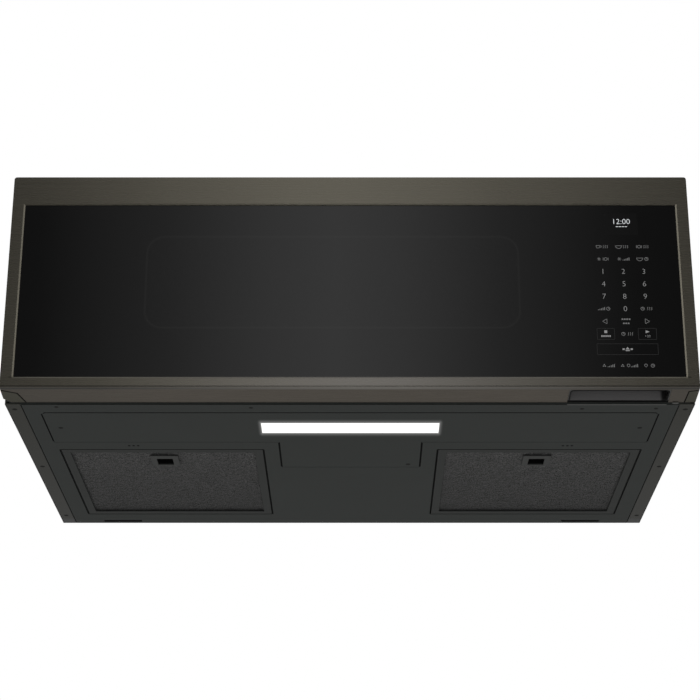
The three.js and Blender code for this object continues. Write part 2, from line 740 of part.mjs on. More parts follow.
function turntableMotor() {
  const low = MOTOR_TOP - TURN_MOTOR_HEIGHT;
  const ears = block(
    about(OVEN_X, 2 * TURN_MOTOR_RADIUS + 4 * SHAFT_RADIUS),
    about(OVEN_Y, 4 * SHAFT_RADIUS),
    [MOTOR_TOP - CASE_SHEET, MOTOR_TOP],
  );
  const bore = [SHAFT_BOTTOM - RUNNING, MOTOR_TOP + 1];
  return cut(
    join(cylinder("z", TURN_MOTOR_RADIUS, [low, MOTOR_TOP], [OVEN_X, OVEN_Y], 40), ears),
    cylinder("z", SHAFT_RADIUS + RUNNING, bore, [OVEN_X, OVEN_Y], 16),
  );
}

// Ring with a stub axle for each wheel, pointing outwards.
function rollerRing() {
  const [low, high] = about(ROLLER_Z, RING_HEIGHT);
  const ring = turned(
    [
      [RING_INNER, low],
      [RING_OUTER, low],
      [RING_OUTER, high],
      [RING_INNER, high],
      [RING_INNER, low],
    ],
    36,
    [OVEN_X, OVEN_Y],
  );
  const axle = [RING_OUTER - 1, ROLLER_TRACK + ROLLER_WIDTH / 2 + RUNNING];
  const stub = cylinder("x", ROLLER_BORE - RUNNING, axle, [0, ROLLER_Z], 12);
  return join(ring, ...thirds(stub, ROLLER_START));
}

function roller(index) {
  const wheel = cut(
    cylinder("x", ROLLER_RADIUS, about(ROLLER_TRACK, ROLLER_WIDTH), [0, ROLLER_Z], 20),
    cylinder("x", ROLLER_BORE, about(ROLLER_TRACK, ROLLER_WIDTH + 2), [0, ROLLER_Z], 12),
  );
  return thirds(wheel, ROLLER_START)[index];
}

// ---------------------------------------------------------------------------
// Machine bay, right of the oven
// ---------------------------------------------------------------------------

// Floor with a lip along the oven's wall and one along the case's.
function machineTray() {
  const x = [LINER.right + SEAT, PLATE_X];
  const y = [BEHIND_FRONT_Y + CASE_SHEET + SEAT, BACK_PLATE_Y - SEAT];
  const low = TRAY_TOP_Z - CASE_SHEET;
  return join(
    block(x, y, [low, TRAY_TOP_Z]),
    block([x[0], x[0] + CASE_SHEET], y, [low, TRAY_TOP_Z + TRAY_LIP]),
    block([x[1] - CASE_SHEET, x[1]], y, [low, TRAY_TOP_Z + TRAY_LIP]),
  );
}

// Short duct, open to the oven's wall, with a hole for the source's antenna.
function waveguide() {
  const start = LINER.right + SEAT;
  const z = about(OVEN_Z, WAVEGUIDE_HEIGHT);
  const duct = block([start, WAVEGUIDE_X], WAVEGUIDE_Y, z);
  const flange = block([start, start + CASE_SHEET], grown(WAVEGUIDE_Y, LINER_FLANGE), grown(z, LINER_FLANGE));
  return cut(
    join(duct, flange),
    block([start - 1, WAVEGUIDE_X - CASE_SHEET], grown(WAVEGUIDE_Y, -CASE_SHEET), grown(z, -CASE_SHEET)),
    cylinder("x", ANTENNA_RADIUS + REVEAL, [start, WAVEGUIDE_X + 1], [APERTURE_Y, OVEN_Z], 20),
  );
}

// Steel frame round the source, open to the cooling air, with the supply's filter box.
function magnetronYoke() {
  const x = [WAVEGUIDE_X + SEAT, WAVEGUIDE_X + SEAT + YOKE_LENGTH];
  const y = about(APERTURE_Y, YOKE_DEPTH);
  const z = about(OVEN_Z, YOKE_HEIGHT);
  const tube = cut(block(x, y, z), block(grown(x, -YOKE_SHEET), grown(y, 1), grown(z, -YOKE_SHEET)));
  const filterBox = block([x[1] - 1, x[1] + FILTER_BOX_REACH], about(APERTURE_Y, CAN_WIDTH), about(OVEN_Z, CAN_THICK));
  const hole = cylinder("x", ANTENNA_RADIUS + REVEAL, [x[0] - 1, x[0] + YOKE_SHEET + 1], [APERTURE_Y, OVEN_Z], 20);
  return cut(join(tube, filterBox), hole);
}

// Anode with its cooling fins, a magnet at each end, and the antenna.
function magnetronAnode() {
  const x = grown([WAVEGUIDE_X + SEAT, WAVEGUIDE_X + SEAT + YOKE_LENGTH], -YOKE_SHEET - SEAT);
  const axis = [APERTURE_Y, OVEN_Z];
  const magnet = MAGNET_THICK;
  const fins = spaced(x[0] + 2 * magnet, x[1] - 2 * magnet, (x[1] - x[0] - 4 * magnet) / (COOLING_FINS - 1));
  return join(
    cylinder("x", ANODE_RADIUS, x, axis, 16),
    cylinder("x", MAGNET_RADIUS, [x[0], x[0] + magnet], axis, 24),
    cylinder("x", MAGNET_RADIUS, [x[1] - magnet, x[1]], axis, 24),
    cylinder("x", ANTENNA_RADIUS, [WAVEGUIDE_X - WAVEGUIDE_DEPTH / 2, x[0] + 1], axis, 12),
    ...fins.map((at) =>
      block(about(at, FIN_THICK), about(APERTURE_Y, YOKE_DEPTH - FIN_MARGIN), grown(about(OVEN_Z, YOKE_HEIGHT), -YOKE_SHEET - SEAT)),
    ),
  );
}

// Supply transformer: a closed core with two windows, and a winding above another on its middle leg.
const SUPPLY_BACK_Y = BACK_Y - SUPPLY_FROM_BACK;
const SUPPLY_Y = [SUPPLY_BACK_Y - CORE_STACK, SUPPLY_BACK_Y];
const CORE_X = about(BAY_X, CORE_WIDTH);
const CORE_WINDOW = (CORE_WIDTH - 4 * CORE_LEG) / 2;
const CORE_WINDOW_Z = [STAND_Z + CORE_LEG, STAND_Z + CORE_HEIGHT - CORE_LEG];

function transformerCore() {
  const feet = block(grown(CORE_X, CORE_FOOT), grown(SUPPLY_Y, -CORE_FOOT), [STAND_Z, STAND_Z + YOKE_SHEET]);
  const windows = [-1, 1].map((side) => {
    const x = mirrored([CORE_LEG, CORE_LEG + CORE_WINDOW], side).map((value) => BAY_X + value);
    return block(x, grown(SUPPLY_Y, 1), CORE_WINDOW_Z);
  });
  return cut(join(block(CORE_X, SUPPLY_Y, [STAND_Z, STAND_Z + CORE_HEIGHT]), feet), ...windows);
}

function winding(index) {
  const height = (CORE_WINDOW_Z[1] - CORE_WINDOW_Z[0]) / 2 - SEAT;
  const low = CORE_WINDOW_Z[0] + SEAT + index * height;
  const z = [low, low + height - SEAT];
  const x = about(BAY_X, 2 * (CORE_LEG + CORE_WINDOW - SEAT));
  const outline = roundedRectangle(x, grown(SUPPLY_Y, COIL_BUILD), COIL_BUILD);
  const hole = [about(BAY_X, 2 * (CORE_LEG + SEAT)), grown(SUPPLY_Y, SEAT)];
  return cut(prism("z", outline, ...z), block(...hole, grown(z, 1)));
}

// Oval can with two terminal blades.
function capacitor() {
  const x = about(BAY_X, CAN_THICK);
  const y = [SUPPLY_Y[0] - COIL_BUILD - CAN_GAP - CAN_WIDTH, SUPPLY_Y[0] - COIL_BUILD - CAN_GAP];
  const top = STAND_Z + CAN_HEIGHT;
  const middle = (y[0] + y[1]) / 2;
  const blades = about(middle, CAN_WIDTH / 2).map((at) =>
    block(about(BAY_X, CAN_THICK / 5), about(at, FIN_THICK), [top - 1, top + CAN_THICK / 3]),
  );
  return join(prism("z", roundedRectangle(x, y, CAN_THICK / 2 - 0.1), STAND_Z, top), ...blades);
}

const FAN_Z = (STAND_Z + PLATE_TOP) / 2;

function coolingFanFrame() {
  const y = [FAN_Y - FAN_FRAME / 2, FAN_Y + FAN_FRAME / 2];
  const plate = block([LINER.right + CASE_SHEET + 2 * SEAT, PLATE_X - CASE_SHEET - SEAT], y, [STAND_Z, PLATE_TOP]);
  const ring = [FAN_Y - FAN_BLADE_WIDTH / 2, FAN_Y];
  return cut(
    join(plate, cylinder("y", FAN_RADIUS + FAN_TIP_GAP + FAN_FRAME, ring, [BAY_X, FAN_Z], 36)),
    cylinder("y", FAN_RADIUS + FAN_TIP_GAP, [ring[0] - 1, y[1] + 1], [BAY_X, FAN_Z], 36),
  );
}

// Motor with two crossbars whose ends stand on the frame.
function coolingFanMotor() {
  const seat = FAN_Y + FAN_FRAME / 2 + SEAT;
  const front = seat + FAN_BLADE_WIDTH / 2 + CASE_SHEET;
  const reach = 2 * (FAN_RADIUS + FAN_TIP_GAP + FAN_BAR);
  const bars = about(FAN_Z, FAN_MOTOR - 2 * FAN_BAR).flatMap((z) => [
    block(about(BAY_X, reach), [front, front + FAN_FRAME], about(z, FAN_BAR)),
    ...[-1, 1].map((side) => {
      const x = mirrored([reach / 2 - FAN_BAR, reach / 2], side).map((value) => BAY_X + value);
      return block(x, [seat, front + FAN_FRAME], about(z, FAN_BAR));
    }),
  ]);
  const body = block(about(BAY_X, FAN_MOTOR), [front, front + FAN_MOTOR / 2], about(FAN_Z, FAN_MOTOR));
  const bore = cylinder("y", SHAFT_RADIUS + RUNNING, [front - 1, front + FAN_MOTOR / 3], [BAY_X, FAN_Z], 16);
  return cut(join(body, ...bars), bore);
}

// Hub, pitched blades and the end of the shaft.
function coolingFan() {
  const shape = new THREE.Shape();
  shape.moveTo(FAN_HUB - 2, -FAN_CHORD / 3);
  shape.lineTo(FAN_RADIUS - 2, -FAN_CHORD / 2);
  shape.quadraticCurveTo(FAN_RADIUS, 0, FAN_RADIUS - 3, FAN_CHORD / 2);
  shape.lineTo(FAN_HUB - 2, FAN_CHORD / 3);
  const flat = prism("y", shape, -FAN_BLADE_THICK / 2, FAN_BLADE_THICK / 2, 3);
  const pitched = moved(flat, [0, 0, 0], [FAN_PITCH, 0, 0]);
  const blades = Array.from({ length: FAN_BLADES }, (_, i) =>
    moved(pitched, [BAY_X, FAN_Y, FAN_Z], [0, (i * 2 * Math.PI) / FAN_BLADES, 0]),
  );
  const hub = [FAN_Y - FAN_BLADE_WIDTH / 2, FAN_Y + FAN_BLADE_WIDTH / 2];
  const shaftEnd = FAN_Y + FAN_FRAME / 2 + FAN_BLADE_WIDTH / 2 + FAN_MOTOR / 3;
  return join(
    cylinder("y", FAN_HUB, hub, [BAY_X, FAN_Z], 24),
    cylinder("y", SHAFT_RADIUS, [FAN_Y, shaftEnd], [BAY_X, FAN_Z], 16),
    ...blades,
  );
}

// Circuit board on standoffs against the case's wall, with its relays.
function powerBoard() {
  const face = PLATE_X - CASE_SHEET - SEAT - BOARD_STANDOFF;
  const y = [BODY_Y + BOARD_FROM_BODY, BODY_Y + BOARD_FROM_BODY + BOARD_LENGTH];
  const z = [STAND_Z + TRAY_LIP + BOARD_STANDOFF, STAND_Z + TRAY_LIP + BOARD_STANDOFF + BOARD_HEIGHT];
  const board = block([face - BOARD_THICK, face], y, z);
  const posts = grown(y, -BOARD_STANDOFF).flatMap((at) =>
    grown(z, -BOARD_STANDOFF).map((level) =>
      cylinder("x", SHAFT_RADIUS, [face - 1, PLATE_X], [at, level], 12),
    ),
  );
  const relays = spaced(z[0] + RELAY, z[1] - RELAY, 2 * RELAY).map((level) =>
    block([face - RELAY, face], about(y[0] + RELAY, RELAY), about(level, 1.5 * RELAY)),
  );
  return join(board, ...posts, ...relays);
}

// Bracket behind the front plate with a pocket for each of the door's hooks.
function latchBracket() {
  const x = about(LATCH_X, BRACKET_WIDTH);
  const y = [BEHIND_FRONT_Y, DOOR_BACK_Y + LATCH_REACH + BRACKET_DEPTH];
  const ends = grown([HOOK_LEVELS[0] + HOOK_PASSAGE[0], HOOK_LEVELS[1] + HOOK_PASSAGE[1]], BRACKET_WALL);
  const depth = [y[0] - 1, y[1] - BRACKET_WALL];
  const between = [HOOK_LEVELS[0] + HOOK_PASSAGE[1] + BRACKET_WALL, HOOK_LEVELS[1] + HOOK_PASSAGE[0] - BRACKET_WALL];
  return cut(
    block(x, y, ends),
    ...hookSlots(depth),
    block(grown(x, -BRACKET_WALL), depth, between),
  );
}

// Switch against the bracket's side, level with a hook.
function doorSwitch(level) {
  const start = LATCH_X + BRACKET_WIDTH / 2 + SEAT;
  const y = [BEHIND_FRONT_Y + BRACKET_WALL, BEHIND_FRONT_Y + BRACKET_WALL + SWITCH_LENGTH];
  const body = block([start, start + SWITCH_THICK], y, about(level, SWITCH_HEIGHT));
  const blades = spaced(y[0] + 3, y[1] - 3, SWITCH_LENGTH / 3).map((at) =>
    block(about(start + SWITCH_THICK / 2, SWITCH_THICK / 3), about(at, FIN_THICK), [level, level + SWITCH_HEIGHT]),
  );
  return join(body, ...blades);
}

// Bush that the supply cord leaves by, through the top.
function cordGland() {
  const bottom = ROOF_Z - GLAND_RADIUS / 2;
  const seat = HEIGHT + SEAT;
  return turned(
    [
      [GLAND_BORE, bottom],
      [GLAND_RADIUS, bottom],
      [GLAND_RADIUS, seat],
      [GLAND_RADIUS + GLAND_LIP, seat],
      [GLAND_RADIUS + GLAND_LIP, seat + GLAND_LIP],
      [GLAND_BORE, seat + GLAND_LIP],
      [GLAND_BORE, bottom],
    ],
    16,
    GLAND,
  );
}

// ---------------------------------------------------------------------------
// Hood: light, filters, blower and outlet
// ---------------------------------------------------------------------------

function coverPanel() {
  return cut(
    prism("z", coverOutline(-REVEAL / 2), 0, CASE_SHEET),
    block(grown(LIGHT_X, SEAT), grown(LIGHT_Y, SEAT), [-1, CASE_SHEET + 1]),
  );
}

// Clear lens, flush below, with a lip that lies on the cover.
function lightLens() {
  return join(
    block(LIGHT_X, LIGHT_Y, [0, LENS_THICK]),
    block(grown(LIGHT_X, LENS_LIP), grown(LIGHT_Y, LENS_LIP), [LEDGE_Z, LENS_THICK]),
  );
}

// Reflector tray over the lens, with a foot all round.
function lightBox() {
  const inside = [grown(LIGHT_X, LENS_LIP + SEAT), grown(LIGHT_Y, LENS_LIP + SEAT)];
  const outside = inside.map((spread) => grown(spread, CASE_SHEET));
  const top = LEDGE_Z + LIGHT_BOX_HEIGHT;
  return cut(
    join(
      block(...outside, [LEDGE_Z, top]),
      block(...outside.map((spread) => grown(spread, LINER_FLANGE)), [LEDGE_Z, LEDGE_Z + CASE_SHEET]),
    ),
    block(...inside, [LEDGE_Z - 1, top - CASE_SHEET]),
  );
}

// Strip with its light chips facing down.
function lightBoard() {
  const top = LEDGE_Z + LIGHT_BOX_HEIGHT - CASE_SHEET - SEAT;
  const middle = (LIGHT_Y[0] + LIGHT_Y[1]) / 2;
  const chips = spaced(LIGHT_X[0] + LENS_LIP + 4, LIGHT_X[1] - LENS_LIP - 4, LIGHT_WIDTH / LIGHT_CHIPS).map((x) =>
    block(about(x, 4), about(middle, 4), [top - BOARD_THICK - 1, top - 1]),
  );
  return join(block(LIGHT_X, about(middle, LIGHT_DEPTH / 2), [top - BOARD_THICK, top]), ...chips);
}

// A filter's outside, as spans.
function filterSpans(side) {
  return [
    grown(mirrored([FILTER_OPENING.inner, FILTER_OPENING.outer], side), -REVEAL),
    [FILTER_OPENING.front + REVEAL, FILTER_OPENING.back - FILTER_REAR_GAP],
    [FILTER_RECESS, FILTER_RECESS + FILTER_HEIGHT],
  ];
}

const GRIP_Y = FILTER_OPENING.front + GRIP_FROM_FRONT;
const filterMiddle = (side) => (side * (FILTER_OPENING.inner + FILTER_OPENING.outer)) / 2;
const TONGUE_Z = [FILTER_RECESS + FILTER_SHEET + SEAT, FILTER_RECESS + FILTER_SHEET + SEAT + TONGUE_THICK];

// Folded channel round the filter, open inwards, with two tabs that rest on the base.
function filterFrame(side) {
  const [x, y, z] = filterSpans(side);
  const tabs = about(filterMiddle(side), FILTER_TAB_SPAN).map((at) =>
    block(about(at, FILTER_TAB_WIDTH), [y[1] - 1, FILTER_OPENING.back + FILTER_TAB_REACH], [LEDGE_Z, LEDGE_Z + FILTER_SHEET]),
  );
  const slot = [about(filterMiddle(side), 2 * (TONGUE_HALF_WIDTH + RUNNING)), [y[0] - 1, y[0] + FILTER_SHEET + 1]];
  return cut(
    join(block(x, y, z), ...tabs),
    block(...[x, y, z].map((spread) => grown(spread, -FILTER_SHEET))),
    block(grown(x, -FILTER_LIP), grown(y, -FILTER_LIP), [z[0] - 1, z[0] + FILTER_SHEET + 1]),
    block(grown(x, -FILTER_TOP_LIP), grown(y, -FILTER_TOP_LIP), [z[1] - FILTER_SHEET - 1, z[1] + 1]),
    block(...slot, grown(TONGUE_Z, SEAT / 2)),
  );
}

// Pad of mesh with shallow pleats, and a window for the latch's cup and tongue.
function filterMesh(side) {
  const [x, y, z] = filterSpans(side).map((spread) => grown(spread, -FILTER_SHEET - SEAT));
  const low = z[0];
  const pleats = spaced(x[0], x[1], PLEAT_PITCH / 2);
  const wave = pleats.map((at, i) => [at, low + (i % 2) * PLEAT_HEIGHT]);
  const outline = [...wave, ...wave.map(([at, level]) => [at, level + MESH_THICK]).reverse()];
  const through = [low - 1, z[1] + 1];
  const cupFront = GRIP_Y + GRIP_LEAD - CUP_WALL - RUNNING;
  const cupBack = GRIP_Y + GRIP_LEAD + CUP_DEPTH + CUP_WALL + GRIP_TRAVEL + RUNNING;
  return cut(
    prism("y", outline, ...y),
    block(grown(about(filterMiddle(side), CUP_WIDTH), CUP_WALL + RUNNING), [cupFront, cupBack], through),
    block(about(filterMiddle(side), 2 * (TONGUE_HALF_WIDTH + RUNNING)), [y[0] - 1, cupFront + 1], through),
  );
}

// Sliding catch: a plate with a cup for a fingertip, and a tongue to the filter's front edge.
function filterLatch(side) {
  const middle = filterMiddle(side);
  const bottom = FILTER_RECESS;
  const cup = [about(middle, CUP_WIDTH), [GRIP_Y + GRIP_LEAD, GRIP_Y + GRIP_LEAD + CUP_DEPTH]];
  const plate = block(about(middle, GRIP_WIDTH), [GRIP_Y, GRIP_Y + GRIP_DEPTH], [bottom, bottom + GRIP_THICK]);
  const shell = block(...cup.map((spread) => grown(spread, CUP_WALL)), [bottom, bottom + CUP_HEIGHT + CUP_WALL]);
  const nose = FILTER_OPENING.front + SEAT;
  const tongue = block(about(middle, 2 * TONGUE_HALF_WIDTH), [nose, GRIP_Y + GRIP_LEAD / 2], TONGUE_Z);
  return cut(
    join(plate, shell, tongue, block(about(middle, 2 * TONGUE_HALF_WIDTH), [GRIP_Y, GRIP_Y + GRIP_LEAD / 2], [bottom, TONGUE_Z[1]])),
    block(...cup, [bottom - 1, bottom + CUP_HEIGHT]),
  );
}

// The scroll's inside or outside, by the distance it stands off the air.
function scrollOutline(by) {
  const points = [];
  const start = (3 * Math.PI) / 4;
  for (let i = 0; i <= SCROLL_STEPS; i++) {
    const turn = i / SCROLL_STEPS;
    const angle = start + turn * (2 * Math.PI - start);
    const radius = WHEEL_RADIUS + SCROLL_GAP + turn * SCROLL_GROWTH + by;
    points.push([WHEEL_Y + radius * Math.cos(angle), WHEEL_Z + radius * Math.sin(angle)]);
  }
  const top = by > 0 ? PLATE_TOP : PLATE_TOP + 1;
  points.push([WHEEL_Y + SCROLL_RADIUS - SCROLL_SHEET + by, top]);
  points.push([OUTLET_FRONT_Y + SCROLL_SHEET - by, top]);
  return points;
}

// Sheet scroll round one wheel, open above and at the middle of both its ends.
function blowerScroll(side) {
  const x = mirrored(SCROLL_X, side);
  return cut(
    prism("x", scrollOutline(SCROLL_SHEET), ...x),
    prism("x", scrollOutline(0), ...grown(x, -SCROLL_SHEET)),
    cylinder("x", INLET_RADIUS, grown(x, 1), [WHEEL_Y, WHEEL_Z], 24),
  );
}

// Squirrel-cage wheel: forward-curved blades on a middle disc, held by a ring at each end.
function blowerWheel(side) {
  const middle = (side * (SCROLL_X[0] + SCROLL_X[1])) / 2;
  const x = about(middle, WHEEL_LENGTH);
  const inner = WHEEL_RADIUS - WHEEL_BLADE_DEPTH;
  const arc = (radius, lean) => [radius * Math.cos(lean), radius * Math.sin(lean)];
  const middleRadius = (inner + WHEEL_RADIUS) / 2;
  const blade = [
    arc(inner + 0.5, 0),
    arc(middleRadius, BLADE_LEAN / 3),
    arc(WHEEL_RADIUS - 0.5, BLADE_LEAN),
    arc(WHEEL_RADIUS - 0.5, BLADE_LEAN + BLADE_ANGLE),
    arc(middleRadius, BLADE_LEAN / 3 + BLADE_ANGLE),
    arc(inner + 0.5, BLADE_ANGLE),
  ];
  const bladeSpan = grown(x, -WHEEL_PLATE / 2);
  const blades = Array.from({ length: WHEEL_BLADES }, (_, i) =>
    moved(prism("x", blade, ...bladeSpan), [0, WHEEL_Y, WHEEL_Z], [(i * 2 * Math.PI) / WHEEL_BLADES, 0, 0]),
  );
  const centre = [WHEEL_Y, WHEEL_Z];
  const rims = [[x[0], x[0] + WHEEL_PLATE], [x[1] - WHEEL_PLATE, x[1]]].map((end) =>
    cut(
      cylinder("x", WHEEL_RADIUS, end, centre, WHEEL_BLADES),
      cylinder("x", inner, grown(end, 1), centre, WHEEL_BLADES),
    ),
  );
  const wheel = join(
    cylinder("x", inner + 2, about(middle, WHEEL_PLATE), centre, WHEEL_BLADES),
    cylinder("x", 2 * BLOWER_SHAFT_RADIUS, about(middle, WHEEL_HUB), centre, 20),
    ...rims,
    ...blades,
  );
  return cut(wheel, cylinder("x", BLOWER_SHAFT_RADIUS + SEAT, grown(x, 1), centre, 16));
}

function blowerShaft() {
  const end = (SCROLL_X[0] + SCROLL_X[1]) / 2 + WHEEL_HUB / 2 + BLOWER_SHAFT_RADIUS;
  return cylinder("x", BLOWER_SHAFT_RADIUS, [-end, end], [WHEEL_Y, WHEEL_Z], 16);
}

// Motor between the scrolls, on two feet that reach to the back plate.
function blowerMotor() {
  const x = about(0, BLOWER_MOTOR_LENGTH);
  const centre = [WHEEL_Y, WHEEL_Z];
  const feet = about(0, BLOWER_MOTOR_LENGTH / 2).map((at) =>
    block(about(at, MOTOR_FOOT), [WHEEL_Y, BACK_PLATE_Y - SEAT], about(WHEEL_Z, BLOWER_MOTOR_RADIUS)),
  );
  return cut(
    join(
      cylinder("x", BLOWER_MOTOR_RADIUS, grown(x, -BLOWER_MOTOR_LENGTH / 5), centre, 24),
      cylinder("x", BLOWER_MOTOR_RADIUS - 4, x, centre, 24),
      ...feet,
    ),
    cylinder("x", BLOWER_SHAFT_RADIUS + RUNNING, grown(x, 1), centre, 16),
  );
}

// Outlet collar on the top, with a lip that the flap closes on.
function exhaustCollar() {
  const seat = HEIGHT + SEAT;
  const inside = [about(0, OUTLET_WIDTH), [OUTLET_FRONT_Y, OUTLET_BACK_Y]];
  const outside = inside.map((spread) => grown(spread, COLLAR_SHEET));
  const flange = [grown(outside[0], COLLAR_FLANGE), [outside[1][0] - COLLAR_FLANGE, outside[1][1]]];
  const lipTop = FLAP_Z - FLAP_THICK / 2 - SEAT;
  const tube = cut(
    join(block(...outside, [seat, HEIGHT + COLLAR_HEIGHT]), block(...flange, [seat, seat + COLLAR_SHEET])),
    block(...inside, [seat - 1, HEIGHT + COLLAR_HEIGHT + 1]),
  );
  const lip = block(
    grown(inside[0], 1),
    [inside[1][0] - 1, inside[1][0] + COLLAR_LIP],
    [lipTop - COLLAR_SHEET, lipTop],
  );
  const pin = cylinder("x", FLAP_PIN_RADIUS + RUNNING, grown(outside[0], 1), [FLAP_Y, FLAP_Z], 16);
  return cut(join(tube, lip), pin);
}

function exhaustFlap() {
  const plate = block(
    grown(about(0, OUTLET_WIDTH), -REVEAL),
    [OUTLET_FRONT_Y + REVEAL, FLAP_Y + FLAP_PIN_RADIUS],
    about(FLAP_Z, FLAP_THICK),
  );
  const reach = grown(about(0, OUTLET_WIDTH), COLLAR_SHEET);
  return join(plate, cylinder("x", FLAP_PIN_RADIUS, reach, [FLAP_Y, FLAP_Z], 16));
}

// ---------------------------------------------------------------------------
// Door
// ---------------------------------------------------------------------------

const GLASS_OPENING_X = [-SIDE_X + RAIL_SIDE, SIDE_X - RAIL_SIDE];
const GLASS_OPENING_Z = [RAIL_BOTTOM, HEIGHT - RAIL_TOP];
const GLASS_FRONT_Y = FRONT_Y + DOOR_SHEET + SEAT;
const GLASS_BACK_Y = GLASS_FRONT_Y + GLASS_THICK;
const CHOKE_Y = FRONT_Y + CHOKE_FRONT;
const PULL_X = [SIDE_X - PULL_FROM_SIDE - PULL_WIDTH, SIDE_X - PULL_FROM_SIDE];
const PULL_Y = [FRONT_Y + PULL_FRONT, FRONT_Y + PULL_BACK];

// Level of the door's sloping underside.
function undersideAt(y) {
  return LIP_LEVEL - ((LIP_LEVEL - DOOR_BACK_LEVEL) * (y - FRONT_Y)) / (DOOR_BACK_Y - FRONT_Y);
}

// The door's solid form, or its inside at the sheet's thickness. Its underside slopes up to a
// rounded front edge, its top corners are round, and the corner beside the hinge is cut off.
function doorForm(by, back) {
  const front = FRONT_Y + by;
  const low = undersideAt(front) + by;
  const profile = new THREE.Shape();
  profile.moveTo(front, HEIGHT - by);
  profile.lineTo(front, low + LIP_RADIUS);
  profile.quadraticCurveTo(front, low, front + LIP_RADIUS, undersideAt(front + LIP_RADIUS) + by);
  profile.lineTo(back, undersideAt(back) + by);
  profile.lineTo(back, HEIGHT - by);
  const side = SIDE_X - by;
  const slant = by * Math.SQRT2;
  const plan = [
    [side, front],
    [side, back],
    [-SIDE_X + HINGE_RELIEF + slant + (back - DOOR_BACK_Y), back],
    [-side, DOOR_BACK_Y - HINGE_RELIEF - slant + by],
    [-side, front],
  ];
  const corner = Math.max(DOOR_CORNER - by, 0.5);
  const face = new THREE.Shape();
  face.moveTo(-side, -1);
  face.lineTo(side, -1);
  face.lineTo(side, HEIGHT - by - corner);
  face.absarc(side - corner, HEIGHT - by - corner, corner, 0, Math.PI / 2, false);
  face.absarc(-side + corner, HEIGHT - by - corner, corner, Math.PI / 2, Math.PI, false);
  return prism("x", profile, -side, side, 4)
    .intersect(prism("z", plan, -1, HEIGHT + 1))
    .intersect(prism("y", face, front, back));
}

// A cut that widens towards the front, for the slant edge round the glass.
function glassOpening() {
  const deep = FRONT_Y + BEZEL_BEVEL_DEPTH;
  const flare = ([low, high]) => [
    [low - BEZEL_BEVEL, FRONT_Y],
    [low, deep],
    [low, GLASS_BACK_Y],
    [high, GLASS_BACK_Y],
    [high, deep],
    [high + BEZEL_BEVEL, FRONT_Y],
    [high + BEZEL_BEVEL, FRONT_Y - 1],
    [low - BEZEL_BEVEL, FRONT_Y - 1],
  ];
  const upright = prism("x", flare(GLASS_OPENING_Z).map(([z, y]) => [y, z]), ...grown(GLASS_OPENING_X, 5));
  return upright.intersect(prism("z", flare(GLASS_OPENING_X), ...grown(GLASS_OPENING_Z, 5)));
}

// Room for the hinge's plates as the door turns round them.
function hingeNotches() {
  const x = [-SIDE_X - 1, HINGE_X + HINGE_HALF_WIDTH + REVEAL];
  const y = [HINGE_Y - HINGE_HALF_WIDTH - 2 * REVEAL, DOOR_BACK_Y + 1];
  return HINGE_SPANS.map((level) => block(x, y, grown(level, REVEAL)));
}

// Folded skin with the sockets for the hinge pins.
function doorFrame() {
  const [lower, upper] = HINGE_SPANS;
  const levels = [
    [lower[1] + REVEAL, lower[1] + REVEAL + HINGE_SOCKET_HEIGHT],
    [upper[0] - REVEAL - HINGE_SOCKET_HEIGHT, upper[0] - REVEAL],
  ];
  const sockets = levels.map((level) =>
    block([-SIDE_X, HINGE_X + HINGE_SOCKET_REACH], about(HINGE_Y, HINGE_SOCKET_DEPTH), level),
  );
  const form = doorForm(0, DOOR_BACK_Y);
  return cut(
    join(cut(form, doorForm(DOOR_SHEET, DOOR_BACK_Y + 1)), join(...sockets).intersect(form)),
    glassOpening(),
    block(grown(PULL_X, PULL_WALL + SEAT), grown(PULL_Y, PULL_WALL + SEAT), [-1, LIP_LEVEL + DOOR_SHEET + 1]),
    ...hingeNotches(),
    ...levels.map((level) =>
      cylinder("z", HINGE_PIN_RADIUS + RUNNING, grown(level, 1), [HINGE_X, HINGE_Y], 16),
    ),
  );
}

function doorGlass() {
  return block(grown(GLASS_OPENING_X, GLASS_LAP), [GLASS_FRONT_Y, GLASS_BACK_Y], grown(GLASS_OPENING_Z, GLASS_LAP));
}

// Cup for the fingers, flush with the door's underside.
function fingerPull() {
  const outside = block(grown(PULL_X, PULL_WALL), grown(PULL_Y, PULL_WALL), [0, PULL_HEIGHT + PULL_WALL]);
  const opening = roundedRectangle(PULL_Y, [-2 * PULL_ROUND, PULL_HEIGHT], PULL_ROUND);
  return cut(outside.intersect(doorForm(0, DOOR_BACK_Y)), prism("x", opening, ...PULL_X));
}

// Slotted pan round the window that keeps the microwaves in.
function chokePan() {
  const x = grown(MOUTH_X, CHOKE_LAP);
  const z = grown(MOUTH_Z, CHOKE_LAP);
  const back = INNER_PANEL_Y - SEAT;
  const slotDepth = [back - CHOKE_SLOT_DEPTH, back + 1];
  const across = spaced(x[0] + CHOKE_SLOT_PITCH, x[1] - CHOKE_SLOT_PITCH, CHOKE_SLOT_PITCH).map((at) =>
    block(about(at, CHOKE_SLOT), slotDepth, grown(z, 1)),
  );
  const upright = spaced(z[0] + CHOKE_SLOT_PITCH, z[1] - CHOKE_SLOT_PITCH, CHOKE_SLOT_PITCH).map((at) =>
    block(grown(x, 1), slotDepth, about(at, CHOKE_SLOT)),
  );
  const window = roundedRectangle(about(OVEN_X, WINDOW_WIDTH), about(OVEN_Z, WINDOW_HEIGHT), WINDOW_CORNER);
  return cut(
    block(x, [CHOKE_Y, back], z),
    block(grown(x, -CHOKE_SHEET), [CHOKE_Y + CHOKE_SHEET, back + 1], grown(z, -CHOKE_SHEET)),
    prism("y", window, CHOKE_Y - 1, CHOKE_Y + CHOKE_SHEET + 1, 5),
    ...across,
    ...upright,
  );
}

